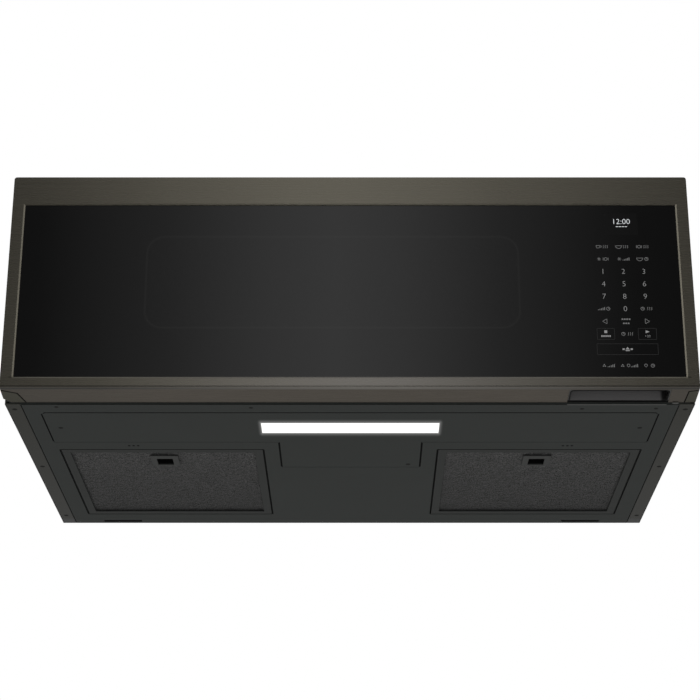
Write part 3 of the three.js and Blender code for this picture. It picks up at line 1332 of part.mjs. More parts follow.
// Perforated screen behind the pan's window.
function windowScreen() {
  const x = about(OVEN_X, WINDOW_WIDTH);
  const z = about(OVEN_Z, WINDOW_HEIGHT);
  const y = [CHOKE_Y + CHOKE_SHEET + SEAT, CHOKE_Y + CHOKE_SHEET + SEAT + SCREEN_THICK];
  const rows = spaced(z[0], z[1], WINDOW_HEIGHT / SCREEN_ROWS);
  const slots = spaced(x[0] + SCREEN_SLOT_PITCH, x[1] - SCREEN_SLOT_PITCH, SCREEN_SLOT_PITCH).flatMap((at) =>
    rows.slice(1).map((top, i) =>
      block(about(at, SCREEN_SLOT), grown(y, 1), [rows[i] + SCREEN_SLOT, top - SCREEN_SLOT]),
    ),
  );
  return cut(block(grown(x, SCREEN_LAP), y, grown(z, SCREEN_LAP)), ...slots);
}

// Panel that closes the door's back, with openings for the window, the hooks and the hinges.
function innerPanel() {
  const left = -SIDE_X + HINGE_RELIEF + DOOR_SHEET * Math.SQRT2 + SEAT;
  const depth = [INNER_PANEL_Y - 1, DOOR_BACK_Y + 1];
  const window = roundedRectangle(about(OVEN_X, WINDOW_WIDTH), about(OVEN_Z, WINDOW_HEIGHT), WINDOW_CORNER);
  const edge = DOOR_SHEET + SEAT;
  const bottom = undersideAt(INNER_PANEL_Y) + edge;
  const outline = roundedRectangle([left, SIDE_X - edge], [bottom, HEIGHT - edge], DOOR_CORNER);
  return cut(
    prism("y", outline, INNER_PANEL_Y, DOOR_BACK_Y),
    prism("y", window, ...depth, 5),
    ...hookSlots(depth),
    ...hingeNotches(),
  );
}

// Clear pane in front of the panel's opening.
function windowPane() {
  const x = grown(about(OVEN_X, WINDOW_WIDTH), SCREEN_LAP);
  const z = grown(about(OVEN_Z, WINDOW_HEIGHT), SCREEN_LAP);
  const back = INNER_PANEL_Y - SEAT;
  return block(x, [back - WINDOW_PANE_THICK, back], z);
}

// Bar with two hooks that lifts against its spring.
function latchHooks() {
  const back = INNER_PANEL_Y - SEAT;
  const bar = [back - LATCH_BAR_DEPTH, back];
  const x = about(LATCH_X, LATCH_THICK);
  const half = LATCH_HOOK_HEIGHT / 2;
  const tip = DOOR_BACK_Y + LATCH_REACH;
  const barb = tip - LATCH_BARB_LENGTH;
  const hooks = HOOK_LEVELS.map((level) =>
    prism("x", [
      [bar[0], level - half],
      [barb, level - half],
      [barb, level - half - LATCH_BARB],
      [barb + 2, level - half - LATCH_BARB],
      [tip, level],
      [tip, level + half],
      [bar[0], level + half],
    ], ...x),
  );
  return join(block(x, bar, grown(HOOK_LEVELS, LATCH_HOOK_HEIGHT + LATCH_BARB)), ...hooks);
}

// Control board behind the glass, with the clock's display module on its back.
function controlBoard() {
  const right = SIDE_X - CONTROL_FROM_SIDE;
  const x = [right - CONTROL_WIDTH, right];
  const z = grown(GLASS_OPENING_Z, -CONTROL_MARGIN);
  const front = GLASS_BACK_Y + SEAT;
  const display = block(
    about((x[0] + x[1]) / 2, DISPLAY_WIDTH),
    [front + 1, front + BOARD_THICK + DISPLAY_DEPTH],
    [z[1] - CONTROL_MARGIN - DISPLAY_HEIGHT, z[1] - CONTROL_MARGIN],
  );
  return join(block(x, [front, front + BOARD_THICK], z), display);
}

// ---------------------------------------------------------------------------
// Assembly
// ---------------------------------------------------------------------------

const FINISH = {
  case: { color: 0x4b4642, roughness: 0.38, metalness: 0.85 },
  sheet: { color: 0x8f9294, roughness: 0.45, metalness: 0.8 },
  dark: { color: 0x343736, roughness: 0.6, metalness: 0.3 },
  enamel: { color: 0x9b9a96, roughness: 0.4, metalness: 0.1 },
  mesh: { color: 0x6d6f6e, roughness: 0.5, metalness: 0.8 },
  plastic: { color: 0x1a1a1b, roughness: 0.5, metalness: 0 },
  pale: { color: 0xd8d8d2, roughness: 0.5, metalness: 0 },
  glass: { color: 0x0a0a0b, roughness: 0.08, metalness: 0 },
  clear: { color: 0xd7e2e4, roughness: 0.1, metalness: 0 },
  copper: { color: 0x9a4a28, roughness: 0.4, metalness: 0.6 },
  iron: { color: 0x55514d, roughness: 0.6, metalness: 0.6 },
  board: { color: 0x1f5a37, roughness: 0.5, metalness: 0 },
};

// A group whose origin is a pivot given in the part's own frame.
function pivotGroup(parent, ...pivot) {
  const group = new THREE.Group();
  group.userData.pivot = new THREE.Vector3(...pivot);
  group.position.copy(group.userData.pivot).sub(parent.userData.pivot);
  parent.add(group);
  return group;
}

// A piece drawn in the part's own frame, hung in a group.
function fit(group, name, finish, shape) {
  const geometry = geometryOf(shape);
  const { x, y, z } = group.userData.pivot;
  geometry.translate(-x, -y, -z);
  const mesh = new THREE.Mesh(geometry, new THREE.MeshStandardMaterial(FINISH[finish]));
  mesh.name = name;
  group.add(mesh);
}

const microwave = new THREE.Group();
microwave.userData.pivot = new THREE.Vector3();

const body = pivotGroup(microwave, 0, 0, 0);
fit(body, "outer_wrap", "case", outerWrap());
fit(body, "base_plate", "dark", basePlate());
fit(body, "back_plate", "sheet", backPlate());
fit(body, "front_plate", "dark", frontPlate());
fit(body, "lower_hinge", "sheet", hinge(HINGE_SPANS[0], true));
fit(body, "upper_hinge", "sheet", hinge(HINGE_SPANS[1], false));
fit(body, "oven_liner", "enamel", ovenLiner());
fit(body, "mica_sheet", "pale", micaSheet());
fit(body, "oven_lamp", "pale", ovenLamp());
fit(body, "turntable_motor", "sheet", turntableMotor());
fit(body, "machine_tray", "sheet", machineTray());
fit(body, "waveguide", "sheet", waveguide());
fit(body, "magnetron_yoke", "sheet", magnetronYoke());
fit(body, "magnetron_anode", "copper", magnetronAnode());
fit(body, "transformer_core", "iron", transformerCore());
fit(body, "primary_winding", "copper", winding(0));
fit(body, "secondary_winding", "copper", winding(1));
fit(body, "capacitor", "sheet", capacitor());
fit(body, "power_board", "board", powerBoard());
fit(body, "cooling_fan_frame", "sheet", coolingFanFrame());
fit(body, "cooling_fan_motor", "iron", coolingFanMotor());
fit(body, "latch_bracket", "pale", latchBracket());
fit(body, "lower_door_switch", "plastic", doorSwitch(HOOK_LEVELS[0]));
fit(body, "upper_door_switch", "plastic", doorSwitch(HOOK_LEVELS[1]));
fit(body, "cord_gland", "plastic", cordGland());
fit(body, "cover_panel", "dark", coverPanel());
fit(body, "light_lens", "clear", lightLens());
fit(body, "light_box", "sheet", lightBox());
fit(body, "light_board", "pale", lightBoard());
fit(body, "left_blower_scroll", "sheet", blowerScroll(-1));
fit(body, "right_blower_scroll", "sheet", blowerScroll(1));
fit(body, "blower_motor", "iron", blowerMotor());
fit(body, "exhaust_collar", "sheet", exhaustCollar());

const coolingFanSpin = pivotGroup(body, BAY_X, FAN_Y, FAN_Z);
fit(coolingFanSpin, "cooling_fan", "pale", coolingFan());

const blowerSpin = pivotGroup(body, 0, WHEEL_Y, WHEEL_Z);
fit(blowerSpin, "blower_shaft", "sheet", blowerShaft());
fit(blowerSpin, "left_blower_wheel", "dark", blowerWheel(-1));
fit(blowerSpin, "right_blower_wheel", "dark", blowerWheel(1));

const flapSwing = pivotGroup(body, 0, FLAP_Y, FLAP_Z);
fit(flapSwing, "exhaust_flap", "sheet", exhaustFlap());

const turntableSpin = pivotGroup(body, OVEN_X, OVEN_Y, OVEN_FLOOR_Z);
fit(turntableSpin, "turntable_coupler", "pale", turntableCoupler());
fit(turntableSpin, "turntable", "clear", turntable());

const ringSpin = pivotGroup(body, OVEN_X, OVEN_Y, ROLLER_Z);
fit(ringSpin, "roller_ring", "pale", rollerRing());
[0, 1, 2].forEach((i) => fit(ringSpin, `roller_${i + 1}`, "pale", roller(i)));

for (const [name, side] of [["left", -1], ["right", 1]]) {
  const filterSwing = pivotGroup(body, filterMiddle(side), FILTER_OPENING.back, CASE_SHEET);
  fit(filterSwing, `${name}_filter_frame`, "dark", filterFrame(side));
  fit(filterSwing, `${name}_filter_mesh`, "mesh", filterMesh(side));
  fit(filterSwing, `${name}_filter_latch`, "dark", filterLatch(side));
}

const doorSwing = pivotGroup(microwave, HINGE_X, HINGE_Y, 0);
fit(doorSwing, "door_frame", "case", doorFrame());
fit(doorSwing, "door_glass", "glass", doorGlass());
fit(doorSwing, "finger_pull", "plastic", fingerPull());
fit(doorSwing, "control_board", "board", controlBoard());
fit(doorSwing, "choke_pan", "sheet", chokePan());
fit(doorSwing, "window_screen", "dark", windowScreen());
fit(doorSwing, "window_pane", "clear", windowPane());
fit(doorSwing, "inner_panel", "plastic", innerPanel());
fit(doorSwing, "latch_hooks", "plastic", latchHooks());

export default microwave;
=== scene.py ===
import math
import random

import bpy
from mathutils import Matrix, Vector


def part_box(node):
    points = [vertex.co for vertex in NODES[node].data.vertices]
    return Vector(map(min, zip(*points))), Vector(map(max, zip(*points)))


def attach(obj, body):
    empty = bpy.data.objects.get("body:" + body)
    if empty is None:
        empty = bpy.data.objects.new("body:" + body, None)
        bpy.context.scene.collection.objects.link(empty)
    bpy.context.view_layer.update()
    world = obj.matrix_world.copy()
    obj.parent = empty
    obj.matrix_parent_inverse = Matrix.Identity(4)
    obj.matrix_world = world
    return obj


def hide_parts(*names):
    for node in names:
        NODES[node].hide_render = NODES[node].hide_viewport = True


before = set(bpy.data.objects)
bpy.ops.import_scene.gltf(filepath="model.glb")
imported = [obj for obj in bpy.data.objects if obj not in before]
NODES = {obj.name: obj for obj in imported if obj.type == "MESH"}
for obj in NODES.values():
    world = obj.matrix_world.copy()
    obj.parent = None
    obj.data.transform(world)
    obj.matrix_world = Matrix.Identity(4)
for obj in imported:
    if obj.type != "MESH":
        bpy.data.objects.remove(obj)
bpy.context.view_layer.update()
MM = 0.001


def box_of(node):
    """Low and high corner of a node's box, in millimetres."""
    return tuple(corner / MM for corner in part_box(node))


# Planes and sizes of the part in millimetres, from its nodes' boxes or as it was drawn.
GLASS_LOW, GLASS_HIGH = box_of("door_glass")
GLASS_LAP = 5.0
RAIL_EDGE = GLASS_LOW.z + GLASS_LAP
WRAP_HIGH = box_of("outer_wrap")[1]
DOOR_LOW, DOOR_HIGH = box_of("door_frame")
LIP_LEVEL = 6.0
SLOPE_TOP = 5.35
LINER_LOW, LINER_HIGH = box_of("oven_liner")
LINER_FLANGE = 8.0
PULL_LOW, PULL_HIGH = box_of("finger_pull")
PULL_RIM = 1.4
LENS_BOX = box_of("light_lens")
LENS_LIP = Vector((3, 3, 0))
LENS_LOW, LENS_HIGH = LENS_BOX[0] + LENS_LIP, LENS_BOX[1] - LENS_LIP
BACK_FACE = 230.0

# Outline of the window in the glass, read off the photograph.
WINDOW_LOW, WINDOW_HIGH = Vector((-226, 0, 77)), Vector((187, 0, 188))
WINDOW_CORNER = 20.0


# ---------------------------------------------------------------- materials
def tinted(color, by):
    return tuple(max(0.0, channel * by) for channel in color)


class Nodes:
    """A node tree with a few short ways to fill it."""

    def __init__(self, tree):
        self.tree = tree

    def feed(self, socket, value):
        if isinstance(value, bpy.types.NodeSocket):
            self.tree.links.new(value, socket)
        else:
            socket.default_value = value

    def node(self, kind, **inputs):
        made = self.tree.nodes.new("ShaderNode" + kind)
        for key, value in inputs.items():
            self.feed(made.inputs[key], value)
        return made

    def math(self, operation, first, second=0.0):
        made = self.node("Math")
        made.operation = operation
        self.feed(made.inputs[0], first)
        self.feed(made.inputs[1], second)
        return made.outputs[0]

    def mix_shaders(self, factor, first, second):
        made = self.node("MixShader", Fac=factor)
        self.feed(made.inputs[1], first.outputs[0])
        self.feed(made.inputs[2], second.outputs[0])
        return made.outputs[0]


class Look(Nodes):
    """A Principled material, shaded by procedural nodes that go by the place on the part."""

    def __init__(self, name, color, roughness, metallic=0.0, **inputs):
        self.material = bpy.data.materials.new(name)
        self.material.use_nodes = True
        super().__init__(self.material.node_tree)
        self.shader = self.tree.nodes["Principled BSDF"]
        self.set("Base Color", (*color, 1))
        self.set("Roughness", roughness)
        self.set("Metallic", metallic)
        for key, value in inputs.items():
            self.set(key.replace("_", " ").title().replace("Ior", "IOR"), value)
        self.place = self.node("TexCoord").outputs["Object"]
        self.split = None

    def set(self, key, value):
        self.feed(self.shader.inputs[key], value)

    def axis(self, letter):
        """One coordinate of the place, in metres."""
        if self.split is None:
            self.split = self.node("SeparateXYZ", Vector=self.place)
        return self.split.outputs[letter]

    def off(self, letter, middle=0.0):
        """Distance along an axis from a middle that is given in millimetres."""
        return self.math("ABSOLUTE", self.math("SUBTRACT", self.axis(letter), middle * MM))

    def wave(self, letter, rate):
        return self.math("SINE", self.math("MULTIPLY", self.axis(letter), rate))

    def hypot(self, first, second):
        squares = [self.math("POWER", side, 2.0) for side in (first, second)]
        return self.math("SQRT", self.math("ADD", *squares))

    def scaled(self, scale):
        scale = scale if isinstance(scale, tuple) else (scale, scale, scale)
        return self.node("Mapping", Vector=self.place, Scale=scale).outputs["Vector"]

    def noise(self, scale, detail=3.0, rough=0.6):
        made = self.node("TexNoise", Vector=self.scaled(scale), Scale=1.0)
        made.inputs["Detail"].default_value = detail
        made.inputs["Roughness"].default_value = rough
        return made.outputs["Fac"]

    def cells(self, scale, feature="F1", output="Distance"):
        made = self.node("TexVoronoi", Vector=self.scaled(scale), Scale=1.0)
        made.feature = feature
        return made.outputs[output]

    def cell_level(self, scale, channel):
        """A level for each cell, taken from one channel of its own color."""
        return self.node("SeparateColor", Color=self.cells(scale, output="Color")).outputs[channel]

    def spread(self, value, low, high, start=0.3, end=0.7):
        """Turns start to end into low to high, and holds the ends."""
        made = self.node("MapRange", Value=value)
        for key, number in zip(("From Min", "From Max", "To Min", "To Max"), (start, end, low, high)):
            made.inputs[key].default_value = number
        return made.outputs["Result"]

    def blend(self, factor, first, second):
        made = self.tree.nodes.new("ShaderNodeMix")
        made.data_type = "RGBA"
        self.feed(made.inputs["Factor"], factor)
        for key, value in (("A", first), ("B", second)):
            socket = [s for s in made.inputs if s.name == key and s.type == "RGBA"][0]
            self.feed(socket, value if isinstance(value, bpy.types.NodeSocket) else (*value, 1))
        return [s for s in made.outputs if s.type == "RGBA"][0]

    def mottled(self, color, grain, low, high, cloud, share, worn):
        """The color tinted low to high by the grain, and up to a share of it worn to another tint."""
        shade = self.blend(self.spread(grain, 0, 1), tinted(color, low), tinted(color, high))
        return self.blend(self.spread(cloud, 0, share), shade, tinted(color, worn))

    def bump(self, height, strength, distance):
        made = self.node("Bump", Height=height, Strength=strength, Distance=distance)
        self.set("Normal", made.outputs["Normal"])
        return self


def bright_steel():
    """Evenly ground steel."""
    color = (0.42, 0.42, 0.41)
    look = Look("bright_steel", color, 0.32, metallic=1.0)
    grain = look.noise(700, detail=4.0, rough=0.7)
    shade = look.mottled(color, grain, 0.92, 1.08, look.noise(9, detail=2.0), 0.35, 0.8)
    look.set("Base Color", shade)
    look.set("Roughness", look.spread(grain, 0.26, 0.4))
    return look.bump(grain, 0.12, 0.0002).material


def painted(name, color, roughness, grain=900, level=0.5, more=None):
    """Textured paint. more(look, shade) may change the shade before it is used."""
    look = Look(name, color, roughness, specular_ior_level=level)
    fine = look.noise(grain)
    shade = look.mottled(color, fine, 0.88, 1.12, look.noise(14), 0.3, 0.82)
    look.set("Base Color", more(look, shade) if more else shade)
    look.set("Roughness", look.spread(fine, roughness - 0.05, roughness + 0.07))
    return look.bump(fine, 0.35, 0.0002).material


def wrap_shade(look, shade):
    """Case paint: lighter toward the wall, paler on the last edge, with a painted shadow along the bends
    at its foot.
    """
    depth = look.axis("Y")
    shade = look.blend(look.spread(depth, 0, 1, -0.19, 0.2), shade, (0.036, 0.036, 0.033))
    shade = look.blend(look.spread(depth, 0, 1, 0.21, 0.214), shade, (0.049, 0.05, 0.05))
    # Painted shadow: a dark line along the bends at the foot of the sides.
    bend = look.spread(look.off("X"), 0, 1, (WRAP_HIGH.x - 1.8) * MM, (WRAP_HIGH.x - 0.5) * MM)
    under = look.math("LESS_THAN", look.axis("Z"), 0.6 * MM)
    return look.blend(look.math("MULTIPLY", bend, under), shade, (0.008, 0.008, 0.007))


def past_lens(look, outward, soft):
    """Distance from the lens's edge, outward (1) or inward (-1), as a share of the soft lengths."""
    parts = []
    for letter, low, high, length in zip("XY", LENS_LOW, LENS_HIGH, soft):
        beyond = look.math("SUBTRACT", look.off(letter, (low + high) / 2), (high - low) / 2 * MM)
        share = look.math("DIVIDE", look.math("MULTIPLY", beyond, outward), length * MM)
        parts.append(look.math("MAXIMUM", share, 0.0))
    return look.hypot(*parts) if outward > 0 else look.math("MINIMUM", *parts)


def lamp_spill(look, shade):
    """Lamp light caught by the cover close round the lens."""
    near = look.math("MAXIMUM", look.math("SUBTRACT", 1.0, past_lens(look, 1, (4.6, 12.5))), 0.0)
    near = look.math("POWER", near, 1.8)
    look.set("Emission Strength", 1.0)
    look.set("Emission Color", look.blend(near, (0, 0, 0), (0.15, 0.15, 0.148)))
    return shade


def door_steel():
    """Brushed dark steel of the door, with painted highlights and painted shade along it, duller on the
    slope behind its lip.
    """
    look = Look("case_front", CASE_COLOR, 0.27, metallic=1.0)
    grain = look.noise((4, 4, 1300), detail=5.0, rough=0.75)
    shade = look.mottled(CASE_COLOR, grain, 0.965, 1.035, look.noise(9), 0.3, 0.86)
    height, reach = look.axis("Z"), look.off("X")
    # Painted light: the steel is lighter toward the door's right end.
    shade = look.blend(look.spread(look.axis("X"), 0, 1, 0.17, 0.33), shade, tinted(CASE_COLOR, 1.17))

    # The low rail has a painted highlight, brightest in its middle, and painted shade as a dark line
    # along the bevel under the glass.
    middle = look.spread(look.off("X", 30), 1, 0, 0.03, 0.31)
    low_rail = look.math("LESS_THAN", height, (RAIL_EDGE + 1) * MM)
    shade = look.blend(look.math("MULTIPLY", middle, low_rail), shade, (0.258, 0.243, 0.221))
    bevel = look.math("COMPARE", height, (RAIL_EDGE - 0.8) * MM)
    bevel.node.inputs[2].default_value = 0.9 * MM
    bevel_shade = look.math("MULTIPLY", bevel, look.math("LESS_THAN", reach, GLASS_HIGH.x * MM))
    shade = look.blend(look.math("MULTIPLY", bevel_shade, 0.5), shade, tinted(CASE_COLOR, 0.1))

    # Round of the lip, its edge, and the ends and top that the photograph doesn't show.
    # Painted highlight: the lip's round and its edge are brightest in their middle.
    fillet_highlight = look.blend(middle, (0.105, 0.098, 0.085), (0.206, 0.195, 0.177))
    shade = look.blend(look.spread(height, 1, 0, 0.0076, 0.0083), shade, fillet_highlight)
    lip = look.blend(middle, (0.036, 0.034, 0.031), (0.16, 0.151, 0.138))
    shade = look.blend(look.math("LESS_THAN", height, (LIP_LEVEL - 0.05) * MM), shade, lip)
    # Painted shade: the door's ends and top are darkened to match how dark its front looks.
    ends = look.math("GREATER_THAN", reach, (DOOR_HIGH.x - 0.05) * MM)
    top = look.math("GREATER_THAN", height, (DOOR_HIGH.z - 0.05) * MM)
    shade = look.blend(look.math("MAXIMUM", ends, top), shade, tinted(CASE_COLOR, 0.5))

    slope = look.math("LESS_THAN", height, SLOPE_TOP * MM)
    fine = look.noise((30, 900, 900))
    dull = look.blend(look.spread(fine, 0, 1), (0.07, 0.0588, 0.0462), (0.088, 0.0748, 0.06))
    dull = look.blend(look.spread(reach, 0, 0.3, 0.2, 0.365), dull, (0.02, 0.0185, 0.014))
    look.set("Base Color", look.blend(slope, shade, dull))
    look.set("Roughness", look.spread(grain, 0.25, 0.3))
    return look.bump(grain, 0.035, 0.0002).material


def galvanised(name, color, painted_shade_before=None):
    """Zinc-coated sheet. Faces in front of a given y, in millimetres, are darkened as painted shade."""
    look = Look(name, color, 0.42, metallic=1.0)
    level = look.cell_level(170, "Red")
    shade = look.blend(look.spread(level, 0, 1, 0, 1), tinted(color, 0.93), tinted(color, 1.04))
    if painted_shade_before:
        inside = look.math("LESS_THAN", look.axis("Y"), painted_shade_before * MM)
        shade = look.blend(inside, shade, tinted(color, 0.06))
    look.set("Base Color", shade)
    look.set("Roughness", look.spread(level, 0.39, 0.47, 0, 1))
    return look.bump(look.noise(500), 0.06, 0.0001).material


def oven_enamel():
    """Pale enamel of the oven's inside, left as dull grey sheet on its outer faces."""
    color = (0.5, 0.5, 0.49)
    look = Look("enamel", color, 0.32, coat_weight=0.2, coat_roughness=0.15)
    grain = look.noise(900, detail=2.0)
    shade = look.mottled(color, grain, 0.94, 1.05, look.noise(12, detail=2.0), 0.3, 0.9)
    bare = look.math("GREATER_THAN", look.axis("Y"), (LINER_HIGH.y - 0.4) * MM)
    for letter, low, high in (("X", LINER_LOW.x, LINER_HIGH.x), ("Z", LINER_LOW.z, LINER_HIGH.z)):
        wall = ((high - low) / 2 - LINER_FLANGE - 0.4) * MM
        outer = look.math("GREATER_THAN", look.off(letter, (low + high) / 2), wall)
        bare = look.math("MAXIMUM", bare, outer)
    look.set("Base Color", look.blend(bare, shade, (0.13, 0.132, 0.134)))
    look.set("Roughness", look.spread(grain, 0.28, 0.38))
    return look.bump(look.noise(220, detail=1.0), 0.06, 0.0001).material


def plastic(name, color, roughness=0.42):
    look = Look(name, color, roughness)
    grain = look.noise(1600, detail=2.0)
    shade = look.blend(look.spread(grain, 0, 1), tinted(color, 0.85), tinted(color, 1.15))
    look.set("Base Color", shade)
    look.set("Roughness", look.spread(grain, roughness - 0.06, roughness + 0.08))
    return look.bump(grain, 0.2, 0.0001).material


def black_glass():
    """Front glass printed black behind, with the faint edge of the window and its fine dots."""
    black = (0.0012, 0.0012, 0.0012)
    look = Look("black_glass", black, 0.045, ior=1.5)
    away = []
    for letter, low, high in (("X", WINDOW_LOW.x, WINDOW_HIGH.x), ("Z", WINDOW_LOW.z, WINDOW_HIGH.z)):
        straight = ((high - low) / 2 - WINDOW_CORNER) * MM
        past = look.math("SUBTRACT", look.off(letter, (low + high) / 2), straight)
        away.append(look.math("MAXIMUM", past, 0.0))
    distance = look.hypot(*away)
    offset = look.math("ABSOLUTE", look.math("SUBTRACT", distance, WINDOW_CORNER * MM))
    edge = look.spread(offset, 0.8, 0, 0.0004, 0.0016)
    inside = look.math("LESS_THAN", distance, WINDOW_CORNER * MM)
    dots = look.spread(look.cells((620, 0, 620)), 0.5, 0, 0.2, 0.45)
    mark = look.math("MAXIMUM", look.math("MULTIPLY", inside, dots), edge)
    look.set("Base Color", look.blend(mark, black, (0.0052, 0.0052, 0.005)))
    look.set("Roughness", look.spread(look.noise(40, detail=5.0), 0.03, 0.07))
    return look.material


def clear_glass(name, color):
    look = Look(name, color, 0.04, transmission_weight=1.0, ior=1.5)
    look.set("Roughness", look.spread(look.noise(25), 0.02, 0.08))
    look.set("Base Color", look.blend(look.noise(12), color, tinted(color, 0.96)))
    return look.material


def copper_wire():
    """Copper with the ridges of wire wound round the upright axis, darker in the grooves between turns
    as painted shade.
    """
    look = Look("copper_wire", (0.42, 0.13, 0.05), 0.32, metallic=1.0)
    turns = look.wave("Z", 6000.0)
    crest = look.spread(turns, 0, 1, -1, 1)
    look.set("Base Color", look.blend(crest, (0.25, 0.07, 0.03), (0.5, 0.17, 0.07)))
    return look.bump(turns, 0.5, 0.0005).material


def laminated_iron():
    look = Look("laminated_iron", (0.16, 0.15, 0.14), 0.55, metallic=0.8)
    layers = look.noise((4, 4, 2500), detail=2.0)
    look.set("Base Color", look.blend(look.spread(layers, 0, 1), (0.09, 0.085, 0.08), (0.22, 0.2, 0.19)))
    look.set("Roughness", look.spread(layers, 0.45, 0.65))
    return look.bump(layers, 0.4, 0.0003).material


def circuit_board():
    look = Look("circuit_board", (0.02, 0.12, 0.05), 0.4)
    tracks = look.cells(160, feature="DISTANCE_TO_EDGE")
    track = look.spread(tracks, 1, 0, 0.02, 0.06)
    look.set("Base Color", look.blend(track, (0.015, 0.1, 0.04), (0.05, 0.2, 0.08)))
    return look.bump(tracks, 0.2, 0.0002).material


def mica_sheet():
    look = Look("mica", (0.5, 0.47, 0.4), 0.35, coat_weight=0.2)
    flakes = look.cell_level(260, "Green")
    look.set("Base Color", look.blend(flakes, (0.4, 0.37, 0.31), (0.58, 0.55, 0.48)))
    return look.bump(flakes, 0.15, 0.0002).material


def perforated_screen():
    """The door's screen: a painted sheet whose fine holes are drawn as dark dots."""
    look = Look("perforated_screen", (0.02, 0.02, 0.02), 0.5, metallic=0.3)
    rows = look.math("MULTIPLY", look.wave("X", 2200.0), look.wave("Z", 2200.0))
    holes = look.spread(rows, 0, 1, 0.1, 0.35)
    look.set("Base Color", look.blend(holes, (0.05, 0.05, 0.05), (0.003, 0.003, 0.003)))
    return look.bump(holes, 0.3, 0.0003).material


def wire_cloth():
    """Layers of fine aluminium wire cloth, dark, lighter toward the front, and unevenly crumpled."""
    look = Look("wire_cloth", (0.06, 0.06, 0.06), 0.6, metallic=0.25, specular_ior_level=0.15)
    threads = look.spread(look.cells((480, 480, 300), feature="DISTANCE_TO_EDGE"), 1, 0, 0.02, 0.25)
    below = look.spread(look.cells((260, 310, 300), feature="DISTANCE_TO_EDGE"), 0.7, 0, 0.02, 0.2)
    wire = look.math("MAXIMUM", threads, below)
    patches = look.noise(330, detail=4.0, rough=0.8)
    near = look.spread(look.axis("Y"), 1, 0, -0.045, 0.2)
    light = look.blend(near, (0.038, 0.038, 0.038), (0.108, 0.108, 0.107))
    light = look.blend(look.spread(patches, 0, 1, 0.38, 0.62), (0.03, 0.03, 0.03), light)
    look.set("Base Color", look.blend(wire, (0.006, 0.006, 0.006), light))
    look.set("Roughness", look.spread(wire, 0.8, 0.5, 0, 1))
    return look.bump(wire, 0.9, 0.0008).material


def catch_plastic():
    """Dark plastic of the filters' catches, with painted shade that turns it black inside the cup."""
    look = Look("catch_plastic", (0.026, 0.027, 0.026), 0.5, specular_ior_level=0.1)
    grain = look.noise(1200, detail=2.0)
    shade = look.blend(look.spread(grain, 0, 1), (0.021, 0.022, 0.021), (0.031, 0.032, 0.031))
    # Painted shade: black deeper inside the cup.
    inside = look.spread(look.axis("Z"), 0, 1, 0.0008, 0.0022)
    look.set("Base Color", look.blend(inside, shade, (0.002, 0.002, 0.002)))
    return look.bump(grain, 0.2, 0.0001).material


def pull_plastic():
    """Grey plastic of the finger pull, black on its rim, with painted shadow black at its right end."""
    look = Look("finger_pull_plastic", (0.075, 0.073, 0.074), 0.42)
    grain = look.noise(1600, detail=2.0)
    shade = look.blend(look.spread(grain, 0, 1), (0.074, 0.072, 0.073), (0.094, 0.092, 0.093))
    # Painted shadow at the right end of the pull.
    dark = look.spread(look.axis("X"), 0, 1, (PULL_HIGH.x - 9.5) * MM, (PULL_HIGH.x - 6.5) * MM)
    for letter, low, high in zip("XY", PULL_LOW, PULL_HIGH):
        inner = ((high - low) / 2 - PULL_RIM + 0.1) * MM
        rim = look.math("GREATER_THAN", look.off(letter, (low + high) / 2), inner)
        dark = look.math("MAXIMUM", dark, rim)
    look.set("Base Color", look.blend(dark, shade, (0.009, 0.009, 0.009)))
    look.set("Roughness", look.spread(grain, 0.36, 0.5))
    return look.bump(grain, 0.2, 0.0001).material


def glowing_lens():
    """Ribbed diffuser over the light chips, duller at its rim."""
    look = Look("lamp_lens", (0.85, 0.85, 0.83), 0.35, emission_strength=1.0)
    ribs = look.wave("X", 2500.0)
    inner = look.spread(past_lens(look, -1, (1.2, 3.0)), 0, 1, 0, 1)
    ribbed = look.blend(look.spread(ribs, 0, 1, -1, 1), (0.8, 0.8, 0.78), (0.9, 0.9, 0.88))
    look.set("Base Color", look.blend(inner, (0.3, 0.3, 0.29), ribbed))
    look.set("Emission Color", look.blend(inner, (0.2, 0.2, 0.2), (1, 1, 0.98)))
    return look.bump(ribs, 0.2, 0.0003).material


def legend_paint(name, color, strength=0.0, roughness=0.6):
    """Print of the keypad. With a strength it glows faintly."""
    glow = {"emission_color": (*color, 1), "emission_strength": strength}
    look = Look(name, color, roughness, specular_ior_level=0.3, **glow)
    look.set("Base Color", look.blend(look.noise(900), tinted(color, 0.85), tinted(color, 1.1)))
    return look.material


CASE_COLOR = (0.2, 0.186, 0.15)
DARK_COLOR = (0.0253, 0.0281, 0.0265)
CASE = door_steel()
WRAP = painted("case_wrap", (0.0262, 0.0262, 0.0218), 0.5, grain=1100, level=0.08, more=wrap_shade)
DARK = painted("dark_paint", DARK_COLOR, 0.6, level=0.08)
COVER_PAINT = painted("cover_paint", DARK_COLOR, 0.6, level=0.08, more=lamp_spill)
FILTER_PAINT = painted("filter_paint", (0.0255, 0.0272, 0.026), 0.6, level=0.08)
CHOKE_ENAMEL = painted("choke_enamel", (0.05, 0.05, 0.052), 0.3, grain=500)
# Pale paint for the painted highlight under the finger pull.
SILL_GLINT = painted("painted_sill_glint", (0.09, 0.09, 0.088), 0.6, level=0.08)
CAP = painted("end_cap_plastic", (0.042, 0.04, 0.029), 0.5, grain=1500, level=0.15)
# Near-black for painted shadow in seams and gaps, and for the locating dots.
SEAM = painted("seam_shadow_and_dot_black", (0.004, 0.004, 0.004), 0.85, grain=1500, level=0.02)
# Near-black for the painted shadow round the finger pull.
EDGE = painted("pull_edge_shadow_black", (0.011, 0.011, 0.011), 0.8, grain=1500, level=0.04)
DULL_STEEL = painted("blackened_steel", (0.0105, 0.0105, 0.0095), 0.6, grain=1500, level=0.03)
STEEL = bright_steel()
ZINC = galvanised("zinc_sheet", (0.5, 0.51, 0.52))
